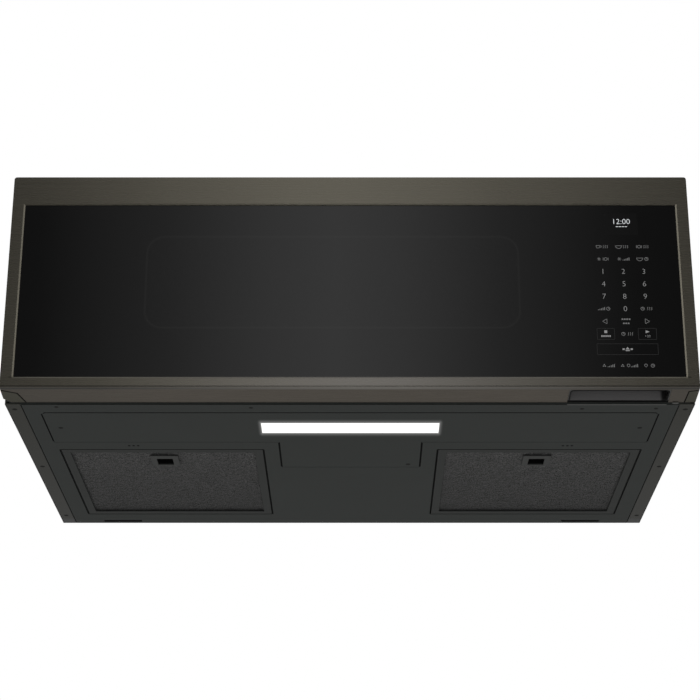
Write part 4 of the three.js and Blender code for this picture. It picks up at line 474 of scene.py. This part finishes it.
# The back plate's faces inside the case are darkened as painted shade.
BACK_ZINC = galvanised("back_zinc_sheet", (0.46, 0.47, 0.48), painted_shade_before=BACK_FACE - 0.4)
ENAMEL = oven_enamel()
BLACK = plastic("black_plastic", (0.018, 0.018, 0.019))
INNER = plastic("inner_panel_plastic", (0.028, 0.028, 0.03), 0.38)
BUFFER = plastic("buffer_rubber", (0.088, 0.088, 0.083), 0.6)
PALE = plastic("pale_plastic", (0.62, 0.62, 0.58))
CATCH = catch_plastic()
PULL = pull_plastic()
GLASS = black_glass()
CLEAR = clear_glass("clear_glass", (0.92, 0.97, 0.96))
PLATTER = clear_glass("turntable_glass", (0.86, 0.95, 0.93))
COPPER = copper_wire()
IRON = laminated_iron()
BOARD = circuit_board()
MICA = mica_sheet()
SCREEN = perforated_screen()
CLOTH = wire_cloth()
LENS = glowing_lens()
CLOCK = legend_paint("clock_light", (0.62, 0.64, 0.66), 0.35)
LEGEND = legend_paint("legend_paint", (0.24, 0.24, 0.24), 0.03)
DIM = legend_paint("dim_legend_paint", (0.14, 0.14, 0.14), 0.015)
FAINT = legend_paint("faint_legend_paint", (0.024, 0.024, 0.024))
DISPLAY = legend_paint("display_window", (0.004, 0.004, 0.004), roughness=0.07)

# What each node is made of. The rest are zinc-coated sheet.
WEAR = (
    (CASE, "door_frame"),
    (WRAP, "outer_wrap"),
    (DARK, "base_plate front_plate"),
    (COVER_PAINT, "cover_panel"),
    (FILTER_PAINT, "left_filter_frame right_filter_frame"),
    (CATCH, "left_filter_latch right_filter_latch"),
    (CLOTH, "left_filter_mesh right_filter_mesh"),
    (BACK_ZINC, "back_plate"),
    (ENAMEL, "oven_liner"),
    (CHOKE_ENAMEL, "choke_pan"),
    (INNER, "inner_panel"),
    (SCREEN, "window_screen"),
    (CLEAR, "window_pane"),
    (GLASS, "door_glass"),
    (PULL, "finger_pull"),
    (MICA, "mica_sheet"),
    (LENS, "light_lens"),
    (PLATTER, "turntable"),
    (BOARD, "light_board power_board control_board"),
    (COPPER, "magnetron_anode primary_winding secondary_winding"),
    (IRON, "transformer_core"),
    (STEEL, "blower_shaft capacitor"),
    (PALE, "oven_lamp roller_ring roller_1 roller_2 roller_3 turntable_coupler"),
    (PALE, "latch_hooks latch_bracket light_box"),
    (BLACK, "cord_gland cooling_fan cooling_fan_frame left_blower_wheel right_blower_wheel"),
    (BLACK, "lower_door_switch upper_door_switch"),
)
MATERIAL_OF = {name: material for material, names in WEAR for name in names.split()}
for node_name, node in NODES.items():
    node.data.materials.clear()
    node.data.materials.append(MATERIAL_OF.get(node_name, ZINC))


# ------------------------------------------------------------------- pieces
def piece(name, points, faces, material, body):
    """A piece of the scene from points in millimetres, carried by a body of the part."""
    mesh = bpy.data.meshes.new(name)
    mesh.from_pydata([tuple(c * MM for c in point) for point in points], [], faces)
    mesh.validate()
    mesh.update()
    mesh.materials.append(material)
    made = bpy.data.objects.new(name, mesh)
    bpy.context.scene.collection.objects.link(made)
    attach(made, body)
    return made


def loft_faces(start, count, rings=2, flip=False):
    """Faces of a closed solid through rings of count points each, of which the first is number start.

    The rings run counterclockwise as seen from the last one, or clockwise with flip.
    """
    first = range(start, start + count)
    last = range(start + (rings - 1) * count, start + rings * count)
    made = [tuple(first), tuple(last[::-1])] if flip else [tuple(first[::-1]), tuple(last)]
    for ring in range(rings - 1):
        a, b = start + ring * count, start + (ring + 1) * count
        for i in range(count):
            j = (i + 1) % count
            made.append((a + i, b + i, b + j, a + j) if flip else (a + i, a + j, b + j, b + i))
    return made


def leftward(outline):
    """The outline run counterclockwise."""
    area = sum(a[0] * b[1] - b[0] * a[1] for a, b in zip(outline, outline[1:] + outline[:1]))
    return outline if area > 0 else outline[::-1]


def bar_outline(start, end, wide, past=0.0):
    """Corners of a straight bar between two points of a plane, run past both by a length."""
    start, end = Vector(start), Vector(end)
    along = (end - start).normalized()
    side = Vector((-along.y, along.x)) * wide / 2
    start, end = start - along * past, end + along * past
    return [tuple(corner) for corner in (start - side, end - side, end + side, start + side)]


class Marks:
    """Flat shapes drawn in x and z on the door's glass, each a thin raised tile."""

    def __init__(self, height=0.06):
        self.levels = (GLASS_LOW.y - height, GLASS_LOW.y)
        self.points = []
        self.faces = []

    def tile(self, outline):
        loop = leftward(outline)
        self.faces += loft_faces(len(self.points), len(loop), flip=True)
        self.points += [(x, y, z) for y in self.levels for x, z in loop]

    def bar(self, x, z, wide, high, turn=0.0):
        c, s = math.cos(turn), math.sin(turn)
        corners = ((-wide, -high), (wide, -high), (wide, high), (-wide, high))
        self.tile([(x + (a * c - b * s) / 2, z + (a * s + b * c) / 2) for a, b in corners])

    def stroke(self, points, wide, closed=False):
        ends = points[1:] + points[:1] if closed else points[1:]
        for start, end in zip(points, ends):
            self.tile(bar_outline(start, end, wide, past=wide * 0.3))

    def arc(self, x, z, radius, wide, start=0.0, end=360.0, steps=20):
        turns = [math.radians(start + (end - start) * i / steps) for i in range(steps + 1)]
        inner, outer = radius - wide / 2, radius + wide / 2
        for a, b in zip(turns, turns[1:]):
            ring = ((inner, a), (outer, a), (outer, b), (inner, b))
            self.tile([(x + r * math.cos(t), z + r * math.sin(t)) for r, t in ring])

    def disc(self, x, z, radius):
        turns = [2 * math.pi * i / 8 for i in range(8)]
        self.tile([(x + radius * math.cos(t), z + radius * math.sin(t)) for t in turns])

    def words(self, text, x, z, high):
        """Figures, drawn with Blender's own letter shapes."""
        curve = bpy.data.curves.new("figures", "FONT")
        curve.body = text
        curve.resolution_u = 3
        curve.offset = -0.018  # thins the strokes
        drawn = bpy.data.objects.new("figures", curve)
        bpy.context.scene.collection.objects.link(drawn)
        bpy.context.view_layer.update()
        mesh = bpy.data.meshes.new_from_object(drawn)
        left, right = (pick(v.co.x for v in mesh.vertices) for pick in (min, max))
        foot, top = (pick(v.co.y for v in mesh.vertices) for pick in (min, max))
        scale = high / (top - foot)
        for face in mesh.polygons:
            corners = [mesh.vertices[i].co for i in face.vertices]
            self.tile([
                (x + (c.x - (left + right) / 2) * scale, z + (c.y - (foot + top) / 2) * scale)
                for c in corners
            ])
        bpy.data.objects.remove(drawn)
        bpy.data.meshes.remove(mesh)

    def finish(self, name, material):
        return piece(name, self.points, self.faces, material, "door")


# Keypad: figures, plain signs and key outlines, where the photograph has its keys. Places are
# x and z in millimetres.
COLUMNS = LEFT, MIDDLE, RIGHT = 280.6, 303.2, 325.9
DIGIT_ROWS = ((145.2, "123"), (130.0, "456"), (114.8, "789"), (99.8, " 0 "))
START_ROWS = (72.1, 66.9)  # the sign and the text of the stop and start keys
OPEN_ROW = 51.3
CLOCK_HIGH, DIGIT_HIGH, TEXT_HIGH = 6.3, 6.0, 2.8

display = Marks(height=0.03)
display.tile([(285, 190), (322, 190), (322, 217), (285, 217)])
display.finish("display_window", DISPLAY)

clock = Marks()
clock.words("12:00", 304.4, 207.0, CLOCK_HIGH)
for step in range(4):
    clock.bar(298.9 + 3.3 * step, 200.6, 2.6, 0.62)
clock.finish("clock_figures", CLOCK)

figures = Marks()
for row, digits in DIGIT_ROWS:
    for column, digit in zip(COLUMNS, digits):
        if digit != " ":
            figures.words(digit, column, row, DIGIT_HIGH)
sign, text = START_ROWS
figures.words("+30", RIGHT, text, TEXT_HIGH)
figures.tile([(RIGHT - 1.9, sign - 1.7), (RIGHT + 2.5, sign), (RIGHT - 1.9, sign + 1.7)])
figures.bar(LEFT - 0.3, sign, 3.2, 3.2)
for step in range(5):
    figures.bar(LEFT - 4.7 + 2.2 * step, text, 1.5, 2.0)
figures.tile([(MIDDLE - 2.3, OPEN_ROW - 0.4), (MIDDLE + 2.3, OPEN_ROW - 0.4), (MIDDLE, OPEN_ROW + 2.6)])
figures.bar(MIDDLE, OPEN_ROW - 1.7, 4.6, 1.1)
for side in (-1, 1):
    figures.bar(MIDDLE + side * 4.4, OPEN_ROW, 2.4, 1.9)
figures.finish("keypad_figures", LEGEND)

signs = Marks()
THIN, THINNEST = 0.55, 0.35


def cup(x, z):
    rim, foot = z + 1.5, z - 1.5
    signs.stroke([(x - 2.6, rim), (x - 2.0, foot), (x + 1.2, foot), (x + 1.8, rim)], THIN, True)
    signs.arc(x + 2.3, z + 0.2, 1.0, THIN, -90, 90, 8)


def bowl(x, z):
    signs.arc(x, z + 1.2, 3.4, THIN, 180, 360, 14)
    signs.bar(x, z + 1.2, 8.0, THIN)


def plate(x, z):
    signs.arc(x, z, 1.7, THIN)
    for side in (-1, 1):
        signs.bar(x + side * 2.8, z, THIN, 3.4)


def star(x, z):
    for turn in (0, 60, 120):
        signs.bar(x, z, 4.0, THIN, math.radians(turn))


def waves(x, z):
    for left in (x - 2.2, x, x + 2.2):
        right = left + 0.7
        signs.stroke([(left, z - 1.7), (right, z - 0.5), (left, z + 0.6), (right, z + 1.7)], THIN)


def dial(x, z):
    signs.arc(x, z, 1.9, THIN)
    signs.stroke([(x, z), (x, z + 1.3)], THIN)
    signs.stroke([(x, z), (x + 1.0, z)], THIN)


def ramp(x, z):
    for i in range(5):
        signs.bar(x - 3.4 + 1.7 * i, z - 1.4 + 0.35 * i, 0.9, 0.8 + 0.7 * i)


def dashes(x, z):
    for shift, count in ((2.5, 4), (-2.5, 3)):
        for i in range(count):
            signs.bar(x + 2.6 * (i - (count - 1) / 2), z + shift, 1.9, 1.7)


def lamp(x, z):
    signs.arc(x, z + 0.4, 1.5, THIN, -60, 240, 14)
    signs.bar(x, z - 1.4, 1.5, THIN)


def fan(x, z):
    for turn in (90, 210, 330):
        c, s = math.cos(math.radians(turn)), math.sin(math.radians(turn))
        signs.disc(x + 1.15 * c, z + 1.15 * s, 0.75)


# Signs of the keys in each column, row by row, and the two arrows beside the middle key.
ARROW_ROW = 84.6
SIGN_ROWS = (
    (175.6, ((cup, waves), (bowl, waves), (plate, waves))),
    (160.4, ((star, plate), (star, ramp), (bowl, dial))),
    (99.8, ((ramp, dial), (), (dial, waves))),
    (ARROW_ROW, ((), (dashes,), ())),
    (69.5, ((), (dial, waves), ())),
    (31.8, ((fan, ramp), (fan, lamp, ramp), (lamp, dial))),
)
for row, keys in SIGN_ROWS:
    for column, drawings in zip(COLUMNS, keys):
        pitch = 9.4 - len(drawings)  # three signs stand closer than two
        for place, draw in enumerate(drawings):
            draw(column + pitch * (place - (len(drawings) - 1) / 2), row)
for side, column in ((-1, LEFT), (1, RIGHT)):
    tip, foot = column + side * 3.2, column - side * 1.6
    signs.stroke([(tip, ARROW_ROW), (foot, ARROW_ROW + 3), (foot, ARROW_ROW - 3)], THIN, True)
signs.finish("keypad_signs", DIM)

# Left, foot, right and top of the stop, start and open keys.
KEYS = ((270.8, 62.9, 289.8, 76.1), (315.9, 62.9, 335.7, 76.1), (270.0, 44.9, 336.5, 57.7))
outlines = Marks()
for left, foot, right, top in KEYS:
    outlines.stroke([(left, foot), (right, foot), (right, top), (left, top)], THINNEST, True)
outlines.finish("key_outlines", FAINT)

# Half of a screw head's section, from its foot to the floor of its recess: the reach along
# the recess's arms and between them, and the height, each as a share of the whole.
HEAD = ((1.0, 1.0, 0.0), (0.96, 0.96, 0.6), (0.72, 0.72, 0.95), (0.42, 0.13, 1.0), (0.38, 0.1, 0.1))


def screw_heads(name, places, axis, material, radius=2.9, proud=0.06):
    """Flat heads with a crossed recess. Each place is on a face, and axis points out of that face."""
    out = Vector(axis)
    side = out.orthogonal().normalized()
    other = out.cross(side)
    count = 16
    points, faces = [], []
    for place in places:
        faces += loft_faces(len(points), count, len(HEAD))
        for arm, between, up in HEAD:
            for i in range(count):
                t = 2 * math.pi * i / count
                reach = between if i % 4 else arm
                spot = Vector(place) + out * proud * up
                spot += (side * math.cos(t) + other * math.sin(t)) * radius * reach
                points.append(tuple(spot))
    return piece(name, points, faces, material, "body")


# Screws and locating dots of the underside.
UNDER, DOWN = 0.0, (0, 0, -1)
FRONT_SCREWS = ((-324, -186), (-109.4, -183.6), (256.7, -180.6), (338.4, -181.5))
wrap_places = [(side * 371.2, y, UNDER) for side in (-1, 1) for y in (-179, 9, 198)]
cover_places = [(x, y, UNDER) for x, y in ((-329, -121.5), (329, -121.5), (68.7, 1))]
front_places = [(x, y, UNDER) for x, y in FRONT_SCREWS]
dot_places = [(side * x, -63, UNDER) for side in (-1, 1) for x in (247.8, 253.0, 258.2)]
screw_heads("wrap_screws", wrap_places, DOWN, DULL_STEEL)
screw_heads("cover_screws", cover_places, DOWN, DULL_STEEL)
screw_heads("front_screws", front_places, DOWN, DULL_STEEL, radius=2.4)
screw_heads("locating_dots", dot_places, DOWN, SEAM, radius=1.7)


def flat_shapes(name, outlines, levels, material, body):
    """Flat shapes in x and y under the part. levels(y) gives their lower and upper height."""
    points, faces = [], []
    for outline in outlines:
        loop = leftward(outline)
        faces += loft_faces(len(points), len(loop))
        points += [(x, y, levels(y)[end]) for end in (0, 1) for x, y in loop]
    return piece(name, points, faces, material, body)


def in_seam(y):
    """Levels of a band in a seam of the flat underside, all but flush with it."""
    return -0.03, 0.6


def on_slope(proud):
    """Levels of a plate on the door's sloping underside, which runs from its lip to its back edge."""
    rise = (DOOR_LOW.z - LIP_LEVEL) / (DOOR_HIGH.y - DOOR_LOW.y)

    def levels(y):
        face = LIP_LEVEL + rise * (y - DOOR_LOW.y)
        return face - proud, face + 0.4

    return levels


# Seams of the underside, each a start, an end and a width, each drawn as a black strip of painted
# shadow.
FRONT_SEAM, COVER_FRONT, FILTER_FRONT, SLOT_FRONT = -193.3, -168.9, -50.4, 218.7
COVER_END, STEM_SIDE, FILTER_INNER, FILTER_OUTER, FLANGE = 344.0, 83.0, 101.8, 341.2, 362.1
seams = [
    ((-341, COVER_FRONT), (341, COVER_FRONT), 1.8),
    ((-362, FRONT_SEAM), (PULL_LOW.x, FRONT_SEAM), 1.3),
    ((PULL_HIGH.x - 1, FRONT_SEAM), (362, FRONT_SEAM), 1.3),
]
for side in (-1, 1):
    seams += [
        ((side * COVER_END, -165), (side * COVER_END, -78), 1.6),
        ((side * STEM_SIDE, -73), (side * STEM_SIDE, 9), 2.1),
        ((side * FILTER_INNER, -50), (side * FILTER_INNER, 192), 1.3),
        ((side * FILTER_OUTER, -50), (side * FILTER_OUTER, 192), 1.3),
        ((side * 102, FILTER_FRONT), (side * 341, FILTER_FRONT), 1.6),
        ((side * FLANGE, -192), (side * FLANGE, 228), 0.85),
        ((side * 275, SLOT_FRONT), (side * 325, SLOT_FRONT), 1.4),
    ]
bands = [bar_outline(*seam) for seam in seams]
flat_shapes("seam_shadows", bands, in_seam, SEAM, "body")
# A pale strip of painted highlight in the seam under the finger pull.
sill = bar_outline((PULL_LOW.x, -193.1), (PULL_HIGH.x - 1, -193.1), 1.7)
flat_shapes("pull_sill_glint", [sill], in_seam, SILL_GLINT, "body")

# End caps of the door's underside, and strips of painted shadow along their shut lines, behind the
# finger pull and round it.
LEFT_SHUT = [(-378.6, -222.6), (-362.4, -216.2), (-355.9, -197.0)]
RIGHT_SHUT = [(378.6, -222.6), (368.7, -220.2), (367.3, -197.0)]
CAPS = [LEFT_SHUT + [(-371.0, -197.0), (-378.9, -205.2)], RIGHT_SHUT + [(378.9, -197.0)]]
PULL_BACK = [[(238.6, -200.8), (349.4, -200.8), (349.4, -196.3), (238.6, -196.3)]]
PULL_EDGE = [(240.2, -199.4), (240.2, -218.9), (241.2, -221.4), (243.9, -222.5),
             (343.6, -222.5), (346.4, -221.4), (347.6, -218.9), (347.6, -199.4)]
EDGE_WIDE = 1.3


def ribbon(line):
    """Bars along a line through several points."""
    return [bar_outline(start, end, EDGE_WIDE, past=EDGE_WIDE / 3) for start, end in zip(line, line[1:])]


shut_line_shadows = ribbon(LEFT_SHUT) + ribbon(RIGHT_SHUT)
flat_shapes("door_end_caps", CAPS, on_slope(0.1), CAP, "door")
flat_shapes("door_shut_lines", shut_line_shadows, on_slope(0.16), SEAM, "door")
flat_shapes("pull_rear_line", PULL_BACK, on_slope(0.1), SEAM, "door")
flat_shapes("pull_edge", ribbon(PULL_EDGE), on_slope(0.14), EDGE, "door")


def door_buffer():
    """Rubber buffer on the door's back edge, a low pad with round ends."""
    x, z, half, radius = 357.7, 1.6, 2.2, 1.4
    back, steps = DOOR_HIGH.y, 20
    points = []
    for y, inset in ((back, 0.0), (back + 1.1, 0.0), (back + 1.6, 0.45)):
        for i in range(steps):
            t = 2 * math.pi * i / steps
            middle, reach = x + (half if math.cos(t) > 0 else -half), radius - inset
            points.append((middle + reach * math.cos(t), y, z + reach * math.sin(t)))
    piece("door_buffer", points, loft_faces(0, steps, 3, flip=True), BUFFER, "door")


door_buffer()

# Screws of the case's sides and back.
for word, side in (("left", -1), ("right", 1)):
    side_places = [(side * WRAP_HIGH.x, y, z) for y in (-178, 212) for z in (32, 232)]
    screw_heads(f"side_screws_{word}", side_places, (side, 0, 0), DULL_STEEL, proud=0.08)
back_places = [(x, BACK_FACE, z) for x in (-366, -190, 0, 190, 366) for z in (14, 250)]
back_places += [(side * 366, BACK_FACE, 130) for side in (-1, 1)]
screw_heads("back_screws", back_places, (0, 1, 0), DULL_STEEL, proud=0.08)

# Wire cloth of the filters: a slightly uneven pad in place of the pleated solid, open round
# the catch's cup and tongue as the solid is.
CUP_HALF, CUP_FRONT, CUP_BACK = 11.2, -19.2, 11.2
TONGUE_HALF = 5.5
PAD_PITCH = 3.0
PAD_SUNK, PAD_UNEVEN = 0.15, 0.75


def grid_lines(low, high, stops):
    """Lines from low to high, a pitch or so apart, that also pass through each of the stops."""
    marks = [low, *stops, high]
    made = [low]
    for start, end in zip(marks, marks[1:]):
        count = max(1, round((end - start) / PAD_PITCH))
        made += [start + (end - start) * i / count for i in range(1, count + 1)]
    return made


def filter_pad(name, node, body):
    low, high = box_of(node)
    middle = (low.x + high.x) / 2
    chance = random.Random(len(name))
    edges = (-CUP_HALF, -TONGUE_HALF, TONGUE_HALF, CUP_HALF)
    xs = grid_lines(low.x, high.x, [middle + reach for reach in edges])
    ys = grid_lines(low.y, high.y, [CUP_FRONT, CUP_BACK])

    def kept(i, j):
        if not (0 <= i < len(xs) - 1 and 0 <= j < len(ys) - 1):
            return False
        x, y = (xs[i] + xs[i + 1]) / 2 - middle, (ys[j] + ys[j + 1]) / 2
        if CUP_FRONT < y < CUP_BACK:
            return abs(x) > CUP_HALF
        return y > CUP_BACK or abs(x) > TONGUE_HALF

    points, faces, index = [], [], {}

    def corner(i, j, upper):
        if (i, j, upper) not in index:
            around = [kept(i - a, j - b) for a in (0, 1) for b in (0, 1)]
            rise = PAD_SUNK + PAD_UNEVEN * chance.random() if all(around) else 0.0
            index[i, j, upper] = len(points)
            points.append((xs[i], ys[j], high.z - rise if upper else low.z + rise))
        return index[i, j, upper]

    for j in range(len(ys) - 1):
        for i in range(len(xs) - 1):
            if not kept(i, j):
                continue
            ring = [(i, j), (i + 1, j), (i + 1, j + 1), (i, j + 1)]
            faces.append(tuple(corner(*spot, False) for spot in reversed(ring)))
            faces.append(tuple(corner(*spot, True) for spot in ring))
            beside = [(i, j - 1), (i + 1, j), (i, j + 1), (i - 1, j)]
            for a, b, other in zip(ring, ring[1:] + ring[:1], beside):
                if not kept(*other):
                    wall = ((*a, False), (*b, False), (*b, True), (*a, True))
                    faces.append(tuple(corner(*spot) for spot in wall))
    made = piece(name, points, faces, CLOTH, body)
    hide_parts(node)


filter_pad("left_filter_cloth", "left_filter_mesh", "left_filter")
filter_pad("right_filter_cloth", "right_filter_mesh", "right_filter")


def door_screen():
    """Screen behind the door's window: a thin sheet with a raised rim round its perforated field."""
    low, high = box_of("window_screen")
    corners = ((0, high.x, high.z), (1, low.x, high.z), (2, low.x, low.z), (3, high.x, low.z))
    # Inset and y of each ring: both sides of the edge, then the rim's end and the sunk field.
    rings = ((0.0, low.y), (0.0, high.y), (7.0, high.y), (8.2, high.y - 0.5))
    steps, radius = 6, 12.0
    points = []
    for inset, y in rings:
        for quarter, x, z in corners:
            inward = Vector((1 if quarter in (1, 2) else -1, 1 if quarter > 1 else -1))
            middle = Vector((x, z)) + inward * (radius + inset)
            for i in range(steps + 1):
                t = math.pi / 2 * (quarter + i / steps)
                spot = middle + Vector((math.cos(t), math.sin(t))) * radius
                points.append((spot.x, y, spot.y))
    faces = loft_faces(0, 4 * (steps + 1), len(rings), flip=True)
    made = piece("door_screen", points, faces, SCREEN, "door")
    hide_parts("window_screen")


door_screen()

# ------------------------------------------------------- camera, floor, light
# The camera is fitted to the edges of the photograph.
camera = bpy.data.objects.new("camera", bpy.data.cameras.new("camera"))
camera.data.lens = 93.477
camera.data.sensor_width = 36
camera.data.shift_x = -0.013516
camera.data.shift_y = 0.13
camera.location = (0.010429, -2.052195, -0.735944)
camera.rotation_euler = (math.radians(110.453), 0, 0)
bpy.context.scene.collection.objects.link(camera)
bpy.context.scene.camera = camera

# The studio, in metres. The floor is low enough for a camera that looks up at the part.
FLOOR_LEVEL = -3.6
FLOOR_REACH = 300.0
CARD_PLACE, CARD_REACH, CARD_TOP = -3.4, 4, 5
CARD_MIDDLE, CARD_FADE = -0.06, 2.0


def studio_sheet(name, corners, material):
    mesh = bpy.data.meshes.new(name)
    mesh.from_pydata(corners, [], [(0, 1, 2, 3)])
    mesh.materials.append(material)
    made = bpy.data.objects.new(name, mesh)
    bpy.context.scene.collection.objects.link(made)
    return made


def floor_paint():
    look = Look("studio_floor", (0.86, 0.86, 0.85), 0.9, specular_ior_level=0.0)
    look.set("Base Color", look.blend(look.noise(6), (0.85, 0.85, 0.84), (0.88, 0.88, 0.87)))
    return look.material


def fading_card():
    """Black sheet that is clear near its middle, with a soft edge."""
    made = bpy.data.materials.new("dark_card")
    made.use_nodes = True
    made.node_tree.nodes.clear()
    nodes = Nodes(made.node_tree)
    place = nodes.node("TexCoord").outputs["Object"]
    across = nodes.node("SeparateXYZ", Vector=place).outputs["X"]
    reach = nodes.math("ABSOLUTE", nodes.math("SUBTRACT", across, CARD_MIDDLE))
    clear = nodes.node("ValToRGB", Fac=nodes.math("DIVIDE", reach, CARD_FADE))
    # How far from the middle, as a share of the fade, and how clear the card is there.
    stops = ((0.0, 0.86), (0.1, 0.72), (0.25, 0.38), (0.45, 0.11), (0.7, 0.05), (1.0, 0.05))
    while len(clear.color_ramp.elements) < len(stops):
        clear.color_ramp.elements.new(0.5)
    for element, (where, level) in zip(clear.color_ramp.elements, stops):
        element.position = where
        element.color = (level, level, level, 1)
    black = nodes.node("Emission", Color=(0, 0, 0, 1))
    surface = nodes.mix_shaders(clear.outputs["Color"], black, nodes.node("BsdfTransparent"))
    nodes.node("OutputMaterial", Surface=surface)
    return made


SQUARE = ((-1, -1), (1, -1), (1, 1), (-1, 1))
floor_corners = [(x * FLOOR_REACH, y * FLOOR_REACH, FLOOR_LEVEL) for x, y in SQUARE]
studio_sheet("studio_floor", floor_corners, floor_paint())

# The card stands in front of the part and is seen by reflections alone.
card_corners = [(side, CARD_PLACE, FLOOR_LEVEL) for side in (-CARD_REACH, CARD_REACH)]
card_corners += [(side, CARD_PLACE, CARD_TOP) for side in (CARD_REACH, -CARD_REACH)]
card = studio_sheet("dark_card", card_corners, fading_card())
card.visible_camera = False
card.visible_diffuse = False
card.visible_transmission = False
card.visible_shadow = False


def soft_light(name, place, aim, size, power):
    data = bpy.data.lights.new(name, "AREA")
    data.shape = "SQUARE"
    data.size = size
    data.energy = power
    made = bpy.data.objects.new(name, data)
    made.location = place
    made.rotation_euler = (Vector(aim) - Vector(place)).to_track_quat("-Z", "Y").to_euler()
    made.visible_glossy = False
    made.visible_camera = False
    bpy.context.scene.collection.objects.link(made)


soft_light("key_light", (-0.9, -2.2, 1.7), (0, 0, 0.1), 1.6, 26)
soft_light("low_light", (0.3, -1.6, -0.95), (0, 0, 0), 1.4, 9)

# The world is white to the camera, to reflections and through glass, and dimmer as a light.
world = bpy.data.worlds.new("studio")
bpy.context.scene.world = world
world.use_nodes = True
world.node_tree.nodes.clear()
sky = Nodes(world.node_tree)
rays = sky.node("LightPath").outputs
seen = sky.math("ADD", rays["Is Camera Ray"], rays["Is Glossy Ray"])
seen = sky.math("ADD", seen, rays["Is Transmission Ray"])
seen.node.use_clamp = True
lighting = sky.node("Background", Color=(1, 1, 1, 1), Strength=0.7)
white = sky.node("Background", Color=(1, 1, 1, 1), Strength=1.0)
sky.node("OutputWorld", Surface=sky.mix_shaders(seen, lighting, white))

bpy.context.scene.view_settings.view_transform = "Standard"
